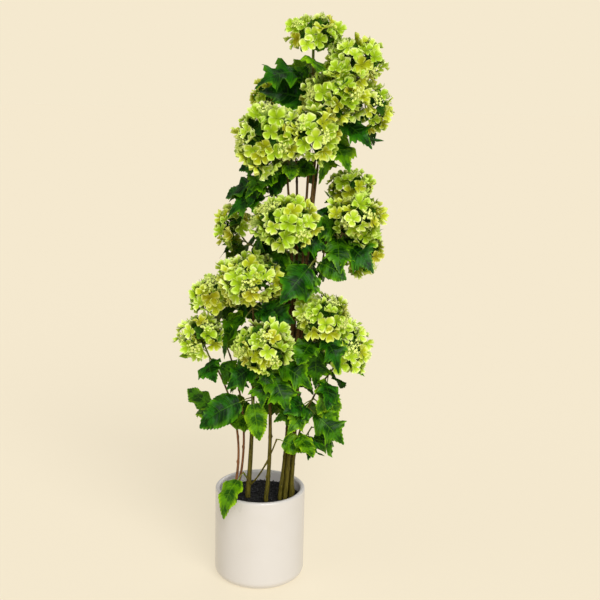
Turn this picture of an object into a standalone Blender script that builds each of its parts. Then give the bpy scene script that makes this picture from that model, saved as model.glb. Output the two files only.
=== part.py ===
"""Artificial hydrangea: a slim bundle of canes in a white glazed pot, with lime flower heads.

Frame: metres, +Z up, front towards -Y, origin at the centre of the pot's flat underside.

The plant is put together as the real one is.  Canes stand with a flat cut on the potting
soil, boughs leave the canes, and each spray is one closed solid of its own: a stem that
meets a cane or a bough, stalks that branch from it, domed flower heads of four-petalled
florets, and lobed leaves.  Every spray keeps to its own space: a floret or a leaf that
would touch a cane, a bough, the pot or another spray is left out.
"""

import math
import random
from collections import namedtuple

import bmesh
import bpy
from mathutils import Matrix, Vector
from mathutils.bvhtree import BVHTree

# ---------------------------------------------------------------- driving dimensions
POT_RADIUS = 0.075
POT_HEIGHT = 0.155
POT_WALL = 0.008
POT_FLOOR = 0.010
RIM_ROUND = 0.0035
FOOT_ROUND = 0.015
POT_STEPS = 32
ARC_STEPS = 3
MERGE = 0.00001
SOIL_LEVEL = 0.140
SOIL_FLAT = 0.060
SOIL_FALL = 0.003
CLEAR = 0.0003

CANE_POINTS = 8
LIMB_ROUNDNESS = 1
NEARBY = 0.002
NEARLY_UPRIGHT = 0.01
BOUGH_POINTS = 5
STRAIGHT_START = 0.010
SEAT_RUN = 0.0015
SHOOT_RISE = 1.1
ARRIVE_RISE = 0.4
STEM_RADIUS = 0.0016
STALK_RADIUS = 0.0013
STEM_SIDES = 4
STEM_POINTS = 3
STALK_END = 0.35
STALK_SINK = 0.002
LEAFY_STALK = (0.10, 0.62)
LEAFY_SHOOT = (0.30, 0.97)
SOLVER = "MANIFOLD"

LEAF_LENGTH = 0.066
LEAF_LENGTH_SPREAD = 0.14
LEAF_THICKNESS = 0.0013
LEAF_DROOP = 0.30
LEAF_FOLD = 0.28
LEAF_PITCH_SPREAD = 9.0
LEAF_TRIES = 8
FIRST_TRY = 0.4
LEAF_SHRINK = 0.05
PETIOLE_LENGTH = 0.30
PETIOLE_RADIUS = 0.0010
PETIOLE_SINK = 0.0012
PETIOLE_TOP = -0.04
# Blade stations: midrib place, margin place and half width, in leaf lengths.
LEAF_STATIONS = ((0.10, 0.04, 0.30), (0.40, 0.50, 0.43), (0.58, 0.60, 0.20))

FLORETS_LARGE = 13
FLORETS_SMALL = 10
SMALL_HEAD = 0.0335
HEAD_CORE = 0.64
CORE_SWELL = 1.05
FLORET_RISE = 0.93
FLORET_REACH = 0.43
FLORET_NOTCH = 0.56
FLORET_DISH = 0.10
FLORET_HEART = 0.06
FLORET_NECK = 0.08
FLORET_SPREAD = 0.08
HEAD_UNDERSIDE = math.radians(125)
SPREADING_ROUNDS = 30
SPREADING_STEP = 0.02
ROOM_MARGIN = 0.0005

UP = Vector((0, 0, 1))

Cane = namedtuple("Cane", "foot waist tip foot_radius tip_radius bark")
Bough = namedtuple("Bough", "carrier height tip foot_radius tip_radius")
Head = namedtuple("Head", "x y z radius half_height")
Spray = namedtuple("Spray", "carrier height node heads leaves")

# A cane bows through foot, waist and tip.  Its foot stands on the soil.
CANES = {
    "cane_top": Cane(
        (0.043, -0.025), (0.0575, -0.020, 0.42), (0.073, 0.018, 0.815), 0.0036, 0.0016, "olive"),
    "cane_upper_left": Cane(
        (0.034, -0.021), (0.0485, -0.014, 0.42), (0.036, 0.0, 0.672), 0.0036, 0.0018, "olive"),
    "cane_upper_right": Cane(
        (0.052, -0.019), (0.063, -0.010, 0.42), (0.082, 0.024, 0.745), 0.0036, 0.0018, "olive"),
    "cane_right": Cane(
        (0.048, -0.006), (0.0615, 0.001, 0.42), (0.085, 0.048, 0.700), 0.0034, 0.0018, "olive"),
    "cane_middle": Cane(
        (0.036, -0.011), (0.046, -0.005, 0.36), (0.038, -0.006, 0.545), 0.0034, 0.0018, "olive"),
    "cane_back": Cane(
        (0.038, 0.002), (0.052, 0.009, 0.42), (0.050, 0.034, 0.690), 0.0034, 0.0018, "olive"),
    "cane_left_centre": Cane(
        (-0.020, -0.014), (-0.0135, -0.014, 0.30), (-0.014, -0.022, 0.450), 0.0042, 0.0016, "olive"),
    "cane_centre": Cane(
        (0.011, -0.029), (0.016, -0.028, 0.27), (0.012, -0.034, 0.365), 0.0038, 0.0022, "olive"),
    "cane_left_outer": Cane(
        (-0.045, 0.0), (-0.046, 0.0, 0.285), (-0.074, -0.006, 0.362), 0.0024, 0.0013, "red"),
    "cane_left_inner": Cane(
        (-0.039, 0.007), (-0.030, 0.004, 0.27), (-0.060, 0.004, 0.400), 0.0022, 0.0013, "red"),
    "cane_right_thin": Cane(
        (0.056, -0.006), (0.0615, -0.002, 0.24), (0.092, -0.012, 0.330), 0.0020, 0.0014, "olive"),
}

# A bough leaves its cane at a height and ends at its tip, where a spray takes over.
BOUGHS = {
    "bough_right_middle": Bough("cane_upper_right", 0.475, (0.100, 0.000, 0.573), 0.0018, 0.0014),
    "bough_right_centre": Bough("cane_upper_right", 0.360, (0.083, -0.022, 0.412), 0.0018, 0.0014),
    "bough_middle_left": Bough("cane_middle", 0.480, (-0.012, 0.020, 0.553), 0.0018, 0.0013),
    "bough_back_low": Bough("cane_back", 0.320, (0.030, 0.044, 0.360), 0.0018, 0.0014),
    "bough_back_left": Bough("cane_back", 0.400, (0.006, 0.052, 0.455), 0.0018, 0.0014),
    "bough_back_right_low": Bough("cane_right", 0.335, (0.090, 0.050, 0.385), 0.0018, 0.0014),
    "bough_back_right": Bough("cane_right", 0.480, (0.122, 0.062, 0.565), 0.0018, 0.0014),
    "bough_low_shoot": Bough("cane_left_centre", 0.165, (0.026, -0.044, 0.250), 0.0016, 0.0012),
}

# A spray starts at its carrier's tip, or on a cane at the given height.  Its stem runs to the
# node, where the stalks to the flower heads part.  Leaves are azimuth and pitch in degrees and
# a size in leaf lengths, from the lowest on the stem to the highest.
SPRAYS = {
    "spray_top": Spray("cane_top", None, (0.072, 0.008, 0.850), (
        Head(0.072, 0.0, 0.888, 0.041, 0.0295),), ((206, -2, 1.15), (75, -20, 1), (283, -6, 1))),
    "spray_upper_right": Spray("cane_upper_right", None, (0.106, 0.008, 0.780), (
        Head(0.108, -0.030, 0.799, 0.047, 0.037), Head(0.137, -0.010, 0.852, 0.042, 0.034)),
        ((285, -70, 0.9), (330, -18, 1.1), (230, -40, 0.8), (20, -5, 0.9))),
    "spray_right_top": Spray("cane_right", None, (0.124, 0.054, 0.752), (
        Head(0.165, 0.030, 0.782, 0.032, 0.038), Head(0.100, 0.078, 0.800, 0.040, 0.034)),
        ((300, -30, 1), (110, -20, 1), (318, -12, 1), (50, -12, 1))),
    "spray_upper_left": Spray("cane_upper_left", None, (0.036, -0.018, 0.700), (
        Head(0.003, -0.045, 0.735, 0.045, 0.050), Head(0.074, -0.050, 0.742, 0.038, 0.041)),
        ((340, -3, 0.7), (200, -26, 1), (212, -34, 0.8), (165, -8, 1))),
    "spray_back_upper": Spray("cane_back", None, (0.040, 0.046, 0.712), (
        Head(0.040, 0.070, 0.736, 0.038, 0.034), Head(0.002, 0.050, 0.797, 0.024, 0.022)),
        ((100, -15, 1), (20, -8, 0.9), (165, -20, 1), (190, 5, 0.8))),
    "spray_leaves_upper_left": Spray("cane_upper_left", 0.625, (-0.002, -0.002, 0.668), (),
        ((197, -6, 0.9), (130, -10, 1), (235, -22, 0.7), (165, -16, 0.9))),
    "spray_middle": Spray("cane_middle", None, (0.037, -0.024, 0.575), (
        Head(0.033, -0.060, 0.609, 0.049, 0.037),),
        ((285, -55, 1.1), (225, -60, 0.9), (150, -12, 1), (350, -8, 0.7))),
    "spray_middle_outer": Spray("bough_middle_left", None, (-0.030, 0.026, 0.565), (
        Head(-0.048, 0.030, 0.588, 0.027, 0.032),), ((185, -6, 0.6), (100, -25, 1), (250, -35, 1))),
    "spray_right_middle": Spray("bough_right_middle", None, (0.120, -0.004, 0.592), (
        Head(0.1445, -0.030, 0.618, 0.0385, 0.027), Head(0.158, 0.010, 0.560, 0.030, 0.042)),
        ((322, -20, 1), (268, -42, 0.9), (165, 50, 0.7), (60, -10, 1))),
    "spray_back_right": Spray("bough_back_right", None, (0.138, 0.074, 0.600), (
        Head(0.138, 0.060, 0.652, 0.036, 0.026), Head(0.150, 0.092, 0.590, 0.038, 0.034)),
        ((110, -40, 1), (30, -30, 1), (120, 10, 0.8))),
    "spray_back_middle": Spray("cane_back", 0.545, (0.040, 0.052, 0.572), (
        Head(0.024, 0.074, 0.592, 0.038, 0.034),), ((80, -30, 1), (150, -25, 1), (45, -8, 0.8))),
    "spray_centre_leaves": Spray("cane_upper_right", 0.520, (0.084, -0.040, 0.552), (),
        ((300, -55, 1), (345, -16, 0.9), (230, -36, 1.2))),
    "spray_left": Spray("cane_left_centre", None, (-0.016, -0.032, 0.478), (
        Head(-0.018, -0.050, 0.517, 0.048, 0.039),), ((195, -40, 1), (320, -45, 0.9), (110, -20, 1))),
    "spray_left_outer": Spray("cane_left_inner", None, (-0.070, 0.004, 0.436), (
        Head(-0.080, 0.0, 0.478, 0.038, 0.034),), ((40, -15, 0.9), (130, -30, 1), (160, -10, 0.6))),
    "spray_left_low": Spray("cane_left_outer", None, (-0.086, -0.010, 0.382), (
        Head(-0.097, -0.018, 0.414, 0.037, 0.032),), ((335, -24, 0.9), (275, -8, 0.8), (120, 0, 0.9))),
    "spray_back_left": Spray("bough_back_left", None, (-0.014, 0.062, 0.470), (
        Head(-0.033, 0.072, 0.492, 0.038, 0.034),), ((100, -35, 1), (170, -25, 1), (50, -20, 1))),
    "spray_centre_back": Spray("cane_middle", 0.405, (0.036, 0.014, 0.436), (
        Head(0.032, 0.030, 0.462, 0.023, 0.026),), ((180, -15, 1), (130, -50, 1))),
    "spray_right_centre": Spray("bough_right_centre", None, (0.088, -0.028, 0.428), (
        Head(0.092, -0.038, 0.457, 0.042, 0.033),), ((290, -55, 1), (20, 25, 0.7), (315, -36, 0.9))),
    "spray_right_low": Spray("cane_right_thin", None, (0.114, -0.012, 0.362), (
        Head(0.135, -0.010, 0.397, 0.036, 0.044),), ((335, -65, 0.8), (262, -38, 0.8), (60, 5, 0.9))),
    "spray_back_right_low": Spray("bough_back_right_low", None, (0.100, 0.064, 0.396), (
        Head(0.109, 0.082, 0.418, 0.038, 0.034),), ((80, -40, 1), (20, -30, 1), (140, -20, 1))),
    "spray_centre_low": Spray("cane_centre", None, (0.010, -0.046, 0.384), (
        Head(0.006, -0.070, 0.415, 0.044, 0.037),),
        ((255, -52, 0.8), (310, -46, 0.9), (200, -25, 0.9), (350, -20, 0.9))),
    "spray_back_low": Spray("bough_back_low", None, (0.016, 0.054, 0.366), (
        Head(-0.002, 0.066, 0.384, 0.038, 0.034),), ((95, -45, 1), (30, -35, 1), (160, -30, 1))),
    "spray_leaves_low_left": Spray("cane_left_outer", 0.258, (-0.072, -0.008, 0.288), (),
        ((350, 12, 0.8), (60, 12, 0.9), (140, -5, 0.8), (176, 34, 0.8))),
    "spray_leaves_low_centre": Spray("cane_left_centre", 0.300, (-0.014, -0.046, 0.330), (),
        ((165, 5, 1), (200, -14, 1), (300, -62, 0.75))),
    "spray_leaves_right": Spray("cane_upper_right", 0.290, (0.086, -0.036, 0.322), (),
        ((345, -34, 1), (240, -22, 0.7), (30, -20, 0.9))),
    "spray_leaves_low_right": Spray("cane_right_thin", 0.225, (0.084, -0.020, 0.268), (),
        ((30, -12, 0.9), (290, 5, 0.9), (350, 8, 0.8))),
    "spray_leaves_back_low": Spray("cane_back", 0.250, (0.046, 0.044, 0.296), (),
        ((150, 8, 0.9), (40, -20, 1), (100, -15, 1))),
    "spray_narrow_leaf": Spray("cane_top", 0.258, (0.054, -0.050, 0.268), (), ((318, -40, 0.8),)),
    "spray_pale_leaf": Spray("bough_low_shoot", None, (0.027, -0.050, 0.256), (), ((330, -5, 0.6),)),
    "spray_rim_leaf": Spray("cane_left_centre", 0.172, (-0.026, -0.044, 0.196), (), ((238, -36, 0.8),)),
}

# Base colour, roughness and metallic of each finish.
FINISHES = {
    "glaze": ((0.86, 0.84, 0.80, 1), 0.22, 0.0),
    "soil": ((0.020, 0.018, 0.018, 1), 0.95, 0.0),
    "olive": ((0.16, 0.13, 0.035, 1), 0.65, 0.0),
    "red": ((0.24, 0.10, 0.055, 1), 0.60, 0.0),
    "leaf": ((0.06, 0.24, 0.025, 1), 0.50, 0.0),
    "blossom": ((0.52, 0.68, 0.13, 1), 0.60, 0.0),
}


# ---------------------------------------------------------------- scene and finishes
def clear_scene():
    """Remove every object that is already in the scene."""
    for item in list(bpy.data.objects):
        bpy.data.objects.remove(item, do_unlink=True)


def make_collection(name):
    """Return a new collection linked to the scene."""
    collection = bpy.data.collections.new(name)
    bpy.context.scene.collection.children.link(collection)
    return collection


def make_finish(node_name, finish):
    """Return one node's own Principled material in the named finish."""
    colour, roughness, metallic = FINISHES[finish]
    material = bpy.data.materials.new(node_name + "_finish")
    material.use_nodes = True
    shader = material.node_tree.nodes["Principled BSDF"]
    shader.inputs["Base Color"].default_value = colour
    shader.inputs["Roughness"].default_value = roughness
    shader.inputs["Metallic"].default_value = metallic
    material.diffuse_color = colour
    return material


def add_mesh(name, shape, finish, collection):
    """Turn a bmesh into a named object with its own finish."""
    mesh = bpy.data.meshes.new(name)
    shape.to_mesh(mesh)
    shape.free()
    item = bpy.data.objects.new(name, mesh)
    item.data.materials.append(make_finish(name, finish))
    collection.objects.link(item)
    return item


# ---------------------------------------------------------------- pot and soil
def arc(centre_x, centre_z, radius, start, end):
    """Points of a rounding in the XZ plane, from one angle to another in degrees."""
    points = []
    for step in range(ARC_STEPS + 1):
        angle = math.radians(start + (end - start) * step / ARC_STEPS)
        points.append((centre_x + radius * math.cos(angle), centre_z + radius * math.sin(angle)))
    return points


def turned(name, profile, finish, collection):
    """Turn a profile about Z with a Screw modifier.  It runs down the outer side."""
    shape = bmesh.new()
    corners = [shape.verts.new((x, 0, z)) for x, z in profile]
    for upper, lower in zip(corners, corners[1:]):
        shape.edges.new((upper, lower))
    item = add_mesh(name, shape, finish, collection)
    screw = item.modifiers.new("Turn", "SCREW")
    screw.steps = POT_STEPS
    screw.render_steps = POT_STEPS
    screw.use_merge_vertices = True
    screw.merge_threshold = MERGE
    screw.use_smooth_shade = True
    return item


def add_pot(collection):
    """The straight cylinder of the pot, with a rounded rim and foot and a flat underside."""
    inner = POT_RADIUS - POT_WALL
    profile = [(0, POT_FLOOR), (inner, POT_FLOOR)]
    profile += arc(inner + RIM_ROUND, POT_HEIGHT - RIM_ROUND, RIM_ROUND, 180, 90)
    profile += arc(POT_RADIUS - RIM_ROUND, POT_HEIGHT - RIM_ROUND, RIM_ROUND, 90, 0)
    profile += arc(POT_RADIUS - FOOT_ROUND, FOOT_ROUND, FOOT_ROUND, 0, -90)
    profile.append((0, 0))
    return turned("pot", profile, "glaze", collection)


def add_soil(collection):
    """The filling of the pot: flat under the canes, falling a little to the wall."""
    edge = POT_RADIUS - POT_WALL - CLEAR
    profile = [(0, SOIL_LEVEL), (SOIL_FLAT, SOIL_LEVEL), (edge, SOIL_LEVEL - SOIL_FALL)]
    profile += [(edge, POT_FLOOR + CLEAR), (0, POT_FLOOR + CLEAR)]
    return turned("soil", profile, "soil", collection)


# ---------------------------------------------------------------- canes and boughs
def cane_at(cane, height):
    """Centre of a cane at a height: the bow through its foot, waist and tip."""
    marks = (Vector((*cane.foot, SOIL_LEVEL)), Vector(cane.waist), Vector(cane.tip))
    place = Vector((0, 0, 0))
    for own in marks:
        weight = 1.0
        for other in marks:
            if other is not own:
                weight *= (height - other.z) / (own.z - other.z)
        place += own * weight
    return place


def cane_radius(cane, height):
    """Radius of a cane at a height, tapering evenly from foot to tip."""
    part = (height - SOIL_LEVEL) / (cane.tip[2] - SOIL_LEVEL)
    return cane.foot_radius + (cane.tip_radius - cane.foot_radius) * part


def cane_tangent(cane, height):
    """Direction of a cane at a height, upwards."""
    return (cane_at(cane, height + NEARBY) - cane_at(cane, height - NEARBY)).normalized()


def curve_between(start, start_way, end, end_way, count):
    """Points of a Bezier from start to end that leaves and arrives along the given ways."""
    pull = (end - start).length / 3
    first = start + start_way * pull
    second = end - end_way * pull
    points = []
    for step in range(count + 1):
        t = step / count
        s = 1 - t
        points.append(start * s ** 3 + first * 3 * s * s * t + second * 3 * s * t * t + end * t ** 3)
    return points


def seat_on_cane(cane, height, target):
    """Start of a shoot on a cane's side: its place just clear of the bark, and its way out."""
    centre = cane_at(cane, height)
    tangent = cane_tangent(cane, height)
    way = target - centre
    way = (way - tangent * way.dot(tangent)).normalized()
    return centre + way * (cane_radius(cane, height) + CLEAR), way


def rising(way):
    """The way in which a shoot grows on from its seat: outwards and up."""
    return (way + UP * SHOOT_RISE).normalized()


def cane_route(cane):
    """Points of a cane from its flat cut on the soil, upright at first, to its tip."""
    foot = Vector((*cane.foot, SOIL_LEVEL + CLEAR))
    route = [foot, foot + UP * STRAIGHT_START]
    for step in range(1, CANE_POINTS + 1):
        part = step / CANE_POINTS
        route.append(cane_at(cane, SOIL_LEVEL + (cane.tip[2] - SOIL_LEVEL) * part))
    return route


def bough_route(bough):
    """Points of a bough: square out of the cane's side, then bending up to the tip."""
    tip = Vector(bough.tip)
    start, way = seat_on_cane(CANES[bough.carrier], bough.height, tip)
    knee = start + way * SEAT_RUN
    arrive = ((tip - knee).normalized() + UP * ARRIVE_RISE).normalized()
    return [start] + curve_between(knee, rising(way), tip, arrive, BOUGH_POINTS)


def add_limb(name, limb, route, finish, collection):
    """A tapering limb: a bevelled poly curve with a radius at every point and filled caps."""
    curve = bpy.data.curves.new(name, "CURVE")
    curve.dimensions = "3D"
    curve.bevel_depth = limb.foot_radius
    curve.bevel_resolution = LIMB_ROUNDNESS
    curve.use_fill_caps = True
    spline = curve.splines.new("POLY")
    spline.points.add(len(route) - 1)
    spans = [(b - a).length for a, b in zip(route, route[1:])]
    run = 0.0
    for point, place, span in zip(spline.points, route, spans + [0.0]):
        point.co = (*place, 1)
        point.radius = 1 + (limb.tip_radius / limb.foot_radius - 1) * run / sum(spans)
        run += span
    curve.materials.append(make_finish(name, finish))
    item = bpy.data.objects.new(name, curve)
    collection.objects.link(item)
    return item


# ---------------------------------------------------------------- closed skins
def across(way, previous=None):
    """A unit vector square to the way, kept close to the previous one."""
    side = previous if previous is not None else way.cross(UP)
    if side.length < NEARLY_UPRIGHT:
        side = Vector((1, 0, 0))
    return (side - way * side.dot(way)).normalized()


def skin(rings, tip=None):
    """A closed skin over rings of equal count, grown by extruding its last face."""
    shape = bmesh.new()
    bmesh.ops.create_cone(shape, cap_ends=True, segments=len(rings[0]), radius1=1, radius2=1, depth=1)
    shape.normal_update()
    foot = min(shape.faces, key=lambda face: face.normal.z)
    top = max(shape.faces, key=lambda face: face.normal.z)
    pairs = []
    for corner in top.verts:
        partner = [edge.other_vert(corner) for edge in corner.link_edges]
        pairs.append((corner, [vert for vert in partner if vert in foot.verts][0]))
    for (upper, lower), high, low in zip(pairs, rings[1], rings[0]):
        upper.co = high
        lower.co = low
    for ring in rings[2:]:
        top = bmesh.ops.extrude_discrete_faces(shape, faces=[top])["faces"][0]
        for corner, place in zip(top.verts, ring):
            corner.co = place
    if tip is not None:
        top = bmesh.ops.extrude_discrete_faces(shape, faces=[top])["faces"][0]
        bmesh.ops.pointmerge(shape, verts=list(top.verts), merge_co=tip)
    bmesh.ops.triangulate(shape, faces=shape.faces, quad_method="SHORT_EDGE")
    bmesh.ops.recalc_face_normals(shape, faces=shape.faces)
    return shape


def stem_shape(route, foot_radius, tip_radius):
    """A tapering stem of few sides along a route."""
    rings = []
    side = None
    last = len(route) - 1
    for index, place in enumerate(route):
        way = (route[min(index + 1, last)] - route[max(index - 1, 0)]).normalized()
        side = across(way, side)
        other = way.cross(side)
        radius = foot_radius + (tip_radius - foot_radius) * index / last
        ring = []
        for step in range(STEM_SIDES):
            angle = 2 * math.pi * step / STEM_SIDES
            ring.append(place + (side * math.cos(angle) + other * math.sin(angle)) * radius)
        rings.append(ring)
    return skin(rings)


def leaf_shape(root, azimuth, pitch, length):
    """A lobed leaf with its petiole: it folds up from the midrib and droops to its tip."""
    heading = Vector((math.cos(azimuth), math.sin(azimuth), 0))
    way = heading * math.cos(pitch) + UP * math.sin(pitch)
    side = way.cross(UP).normalized()
    top = side.cross(way)
    stalk = PETIOLE_LENGTH * length

    def place(along, out, lift):
        """A point of the blade, bent down by the square of its place along the leaf."""
        sag = LEAF_DROOP * along * along
        return root + way * (stalk + along * length) + side * out + top * lift - UP * sag * length

    def ring(mid, margin, half, thick):
        """Left margin, upper midrib, right margin and lower midrib of one station."""
        fold = half * LEAF_FOLD
        left = place(margin, half, fold)
        right = place(margin, -half, fold)
        return left, place(mid, 0, thick), right, place(mid, 0, -thick)

    rings = []
    for along in (-(stalk + PETIOLE_SINK) / length, PETIOLE_TOP):
        rings.append(ring(along, along, PETIOLE_RADIUS, PETIOLE_RADIUS))
    for mid, margin, half in LEAF_STATIONS:
        rings.append(ring(mid, margin, half * length, LEAF_THICKNESS / 2))
    return skin(rings, place(1.0, 0, 0))


# ---------------------------------------------------------------- flower heads
def spread_directions(count):
    """Even directions on a sphere: a golden-angle spiral whose points push each other apart."""
    golden = math.pi * (3 - math.sqrt(5))
    ways = []
    for index in range(count):
        z = 1 - 2 * (index + 0.5) / count
        flat = math.sqrt(1 - z * z)
        ways.append(Vector((flat * math.cos(golden * index), flat * math.sin(golden * index), z)))
    for _ in range(SPREADING_ROUNDS):
        moved = []
        for own in ways:
            push = Vector((0, 0, 0))
            for other in ways:
                if other is not own:
                    apart = own - other
                    push += apart / apart.length ** 3
            moved.append((own + push * SPREADING_STEP).normalized())
        ways = moved
    return ways


def head_stretch(head):
    """What turns the unit ball into a head: its radius sideways and its half height."""
    return Vector((head.radius, head.radius, head.half_height))


def turned_side(way, turn):
    """A side vector square to the way, turned about it."""
    side = across(way)
    return side * math.cos(turn) + way.cross(side) * math.sin(turn)


def floret_frame(head, way, turn):
    """Centre, outward normal and two turned side vectors of a floret."""
    stretch = head_stretch(head)
    centre = Vector((head.x, head.y, head.z)) + way * stretch * FLORET_RISE
    normal = Vector([part / size for part, size in zip(way, stretch)]).normalized()
    side = across(normal, turned_side(way, turn) * stretch / stretch.length)
    return centre, normal, side, normal.cross(side)


def petal_tips(frame, reach):
    """The tips of a floret's four petals, a quarter turn apart and a little bent back."""
    centre, normal, side, other = frame
    drop = normal * FLORET_DISH * reach
    return [centre + way * reach - drop for way in (side, other, -side, -other)]


def floret_probe(head, frame, reach):
    """A closed stand-in for one floret, to try whether it has room."""
    neck = frame[0].lerp(Vector((head.x, head.y, head.z)), 1 - HEAD_CORE)
    shape = bmesh.new()
    heart = frame[0] + frame[1] * FLORET_HEART * reach
    for place in petal_tips(frame, reach) + [neck, heart]:
        shape.verts.new(place)
    bmesh.ops.convex_hull(shape, input=shape.verts)
    return shape


def head_shape(head, florets):
    """A domed head in one skin: a small core whose four-sided pads grow into florets."""
    shape = bmesh.new()
    for way, turn, _, _, _ in florets:
        side = turned_side(way, turn)
        for out in (side, way.cross(side), -side, -way.cross(side)):
            shape.verts.new(way * HEAD_CORE + out * FLORET_NECK)
    bmesh.ops.convex_hull(shape, input=shape.verts)
    pads = []
    for way, _, frame, reach, wanted in florets:
        middle = way * HEAD_CORE
        halves = []
        for face in shape.faces:
            if (face.calc_center_median() - middle).length < FLORET_NECK / 2:
                halves.append(face)
        pad = bmesh.ops.dissolve_faces(shape, faces=halves)["region"][0]
        pads.append((pad, frame, reach, wanted))
    stretch = Matrix.Diagonal((*head_stretch(head), 1))
    shape.transform(Matrix.Translation((head.x, head.y, head.z)) @ stretch)
    for pad, frame, reach, wanted in pads:
        if wanted:
            grow_floret(shape, pad, frame, reach)
    bmesh.ops.recalc_face_normals(shape, faces=shape.faces)
    return shape


def grow_floret(shape, pad, frame, reach):
    """Extrude a pad of the core into a four-petalled star with a raised heart."""
    star = bmesh.ops.extrude_discrete_faces(shape, faces=[pad])["faces"][0]
    tips = petal_tips(frame, reach)
    base = star.calc_center_median()
    for corner in star.verts:
        out = corner.co - base
        corner.co = max(tips, key=lambda tip: (tip - frame[0]).dot(out))
    bmesh.ops.subdivide_edges(shape, edges=list(star.edges), cuts=1)
    middle = reach * math.cos(math.pi / 8)
    notches = [corner for corner in star.verts if (corner.co - frame[0]).length < middle]
    for corner in notches:
        corner.co = frame[0].lerp(corner.co, FLORET_NOTCH / math.cos(math.pi / 4))
    sides = {face for corner in notches for face in corner.link_faces} - {star}
    neck = {vert for face in sides for vert in face.verts} - set(star.verts)
    bmesh.ops.connect_verts(shape, verts=notches + list(neck))
    heart = bmesh.ops.poke(shape, faces=[star])["verts"][0]
    heart.co = frame[0] + frame[1] * FLORET_HEART * reach


# ---------------------------------------------------------------- room among the sprays
class Room:
    """What is taken already, by owner, so that each spray keeps to its own space."""

    def __init__(self):
        self.taken = []

    def claim(self, owner, tree, points):
        """Note a shape's tree and its bounding ball under its owner's name."""
        self.taken.append((owner, tree, *bounding_ball(points)))

    def is_free(self, owner, shape):
        """Whether a shape, swollen by the margin, touches nothing of another owner."""
        tree, points = swollen_tree(shape, ROOM_MARGIN)
        centre, reach = bounding_ball(points)
        for other, other_tree, other_centre, other_reach in self.taken:
            if other == owner or (centre - other_centre).length > reach + other_reach:
                continue
            if tree.overlap(other_tree):
                return False
        return True


def bounding_ball(points):
    """Centre and reach of a ball round the points."""
    centre = sum(points, Vector((0, 0, 0))) / len(points)
    return centre, max((point - centre).length for point in points)


def swollen_tree(shape, margin):
    """A search tree of a bmesh whose corners are pushed out by the margin."""
    shape.normal_update()
    shape.verts.index_update()
    points = [vert.co + vert.normal * margin for vert in shape.verts]
    faces = [[vert.index for vert in face.verts] for face in shape.faces]
    return BVHTree.FromPolygons(points, faces), points


def claim_object(room, item):
    """Take the room of a finished object, as its curve or its modifiers make it."""
    evaluated = item.evaluated_get(bpy.context.evaluated_depsgraph_get())
    mesh = evaluated.to_mesh()
    points = [item.matrix_world @ vert.co for vert in mesh.vertices]
    faces = [list(face.vertices) for face in mesh.polygons]
    room.claim(item.name, BVHTree.FromPolygons(points, faces), points)
    evaluated.to_mesh_clear()


def claim_shape(room, owner, shape):
    """Take the room of one piece of a spray."""
    room.claim(owner, *swollen_tree(shape, 0.0))


# ---------------------------------------------------------------- sprays
def spray_start(spray):
    """Where a spray's stem starts, just clear of its carrier, and its way out."""
    if spray.height is not None:
        return seat_on_cane(CANES[spray.carrier], spray.height, Vector(spray.node))
    if spray.carrier in CANES:
        route = cane_route(CANES[spray.carrier])
    else:
        route = bough_route(BOUGHS[spray.carrier])
    way = (route[-1] - route[-2]).normalized()
    return route[-1] + way * CLEAR, way


def stem_routes(spray):
    """Routes of a spray's stem and stalks: through the node and into each flower head."""
    start, way = spray_start(spray)
    node = Vector(spray.node)
    knee = start + way * SEAT_RUN
    centres = [Vector((head.x, head.y, head.z)) for head in spray.heads]
    onward = (centres[0] - node).normalized() if centres else (node - knee).normalized()
    grow = way if spray.height is None else rising(way)
    routes = [[start] + curve_between(knee, grow, node, onward, STEM_POINTS)]
    for index, (centre, head) in enumerate(zip(centres, spray.heads)):
        arrive = centre + (node - centre).normalized() * STALK_END * min(head.radius, head.half_height)
        if index == 0:
            routes[0].append(arrive)
        else:
            routes.append([node - onward * STALK_SINK, node.lerp(arrive, 0.5), arrive])
    return routes


def stem_pieces(spray):
    """The stem and the stalks of a spray, each a closed skin."""
    routes = stem_routes(spray)
    pieces = [stem_shape(routes[0], STEM_RADIUS, STALK_RADIUS)]
    for route in routes[1:]:
        pieces.append(stem_shape(route, STALK_RADIUS, STALK_RADIUS))
    return pieces


def head_florets(room, owner, head, dice):
    """Way, turn, frame and reach of each floret, and whether it is on the dome and has room."""
    count = FLORETS_SMALL if head.radius < SMALL_HEAD else FLORETS_LARGE
    wide = math.sqrt(FLORETS_LARGE / count) * FLORET_REACH * min(head.radius, head.half_height)
    below = (Vector(SPRAYS[owner].node) - Vector((head.x, head.y, head.z))).normalized()
    florets = []
    for way in spread_directions(count):
        turn = dice.uniform(0, math.pi / 2)
        frame = floret_frame(head, way, turn)
        reach = wide * (1 + dice.uniform(-FLORET_SPREAD, 0))
        on_dome = way.angle(-below) < HEAD_UNDERSIDE
        probe = floret_probe(head, frame, reach)
        wanted = on_dome and room.is_free(owner, probe)
        if wanted:
            claim_shape(room, owner, probe)
        probe.free()
        florets.append((way, turn, frame, reach, wanted))
    return florets


def core_shape(head):
    """The core of a head, as a ball, to hold its room before any floret grows."""
    shape = bmesh.new()
    size = head_stretch(head) * HEAD_CORE * CORE_SWELL
    stretch = Matrix.Translation((head.x, head.y, head.z)) @ Matrix.Diagonal((*size, 1))
    bmesh.ops.create_icosphere(shape, subdivisions=2, radius=1, matrix=stretch)
    return shape


def route_point(route, part):
    """The point at a part of a route's length."""
    spans = [(b - a).length for a, b in zip(route, route[1:])]
    left = part * sum(spans)
    for start, end, span in zip(route, route[1:], spans):
        if left <= span:
            return start.lerp(end, left / span)
        left -= span
    return route[-1]


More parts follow.
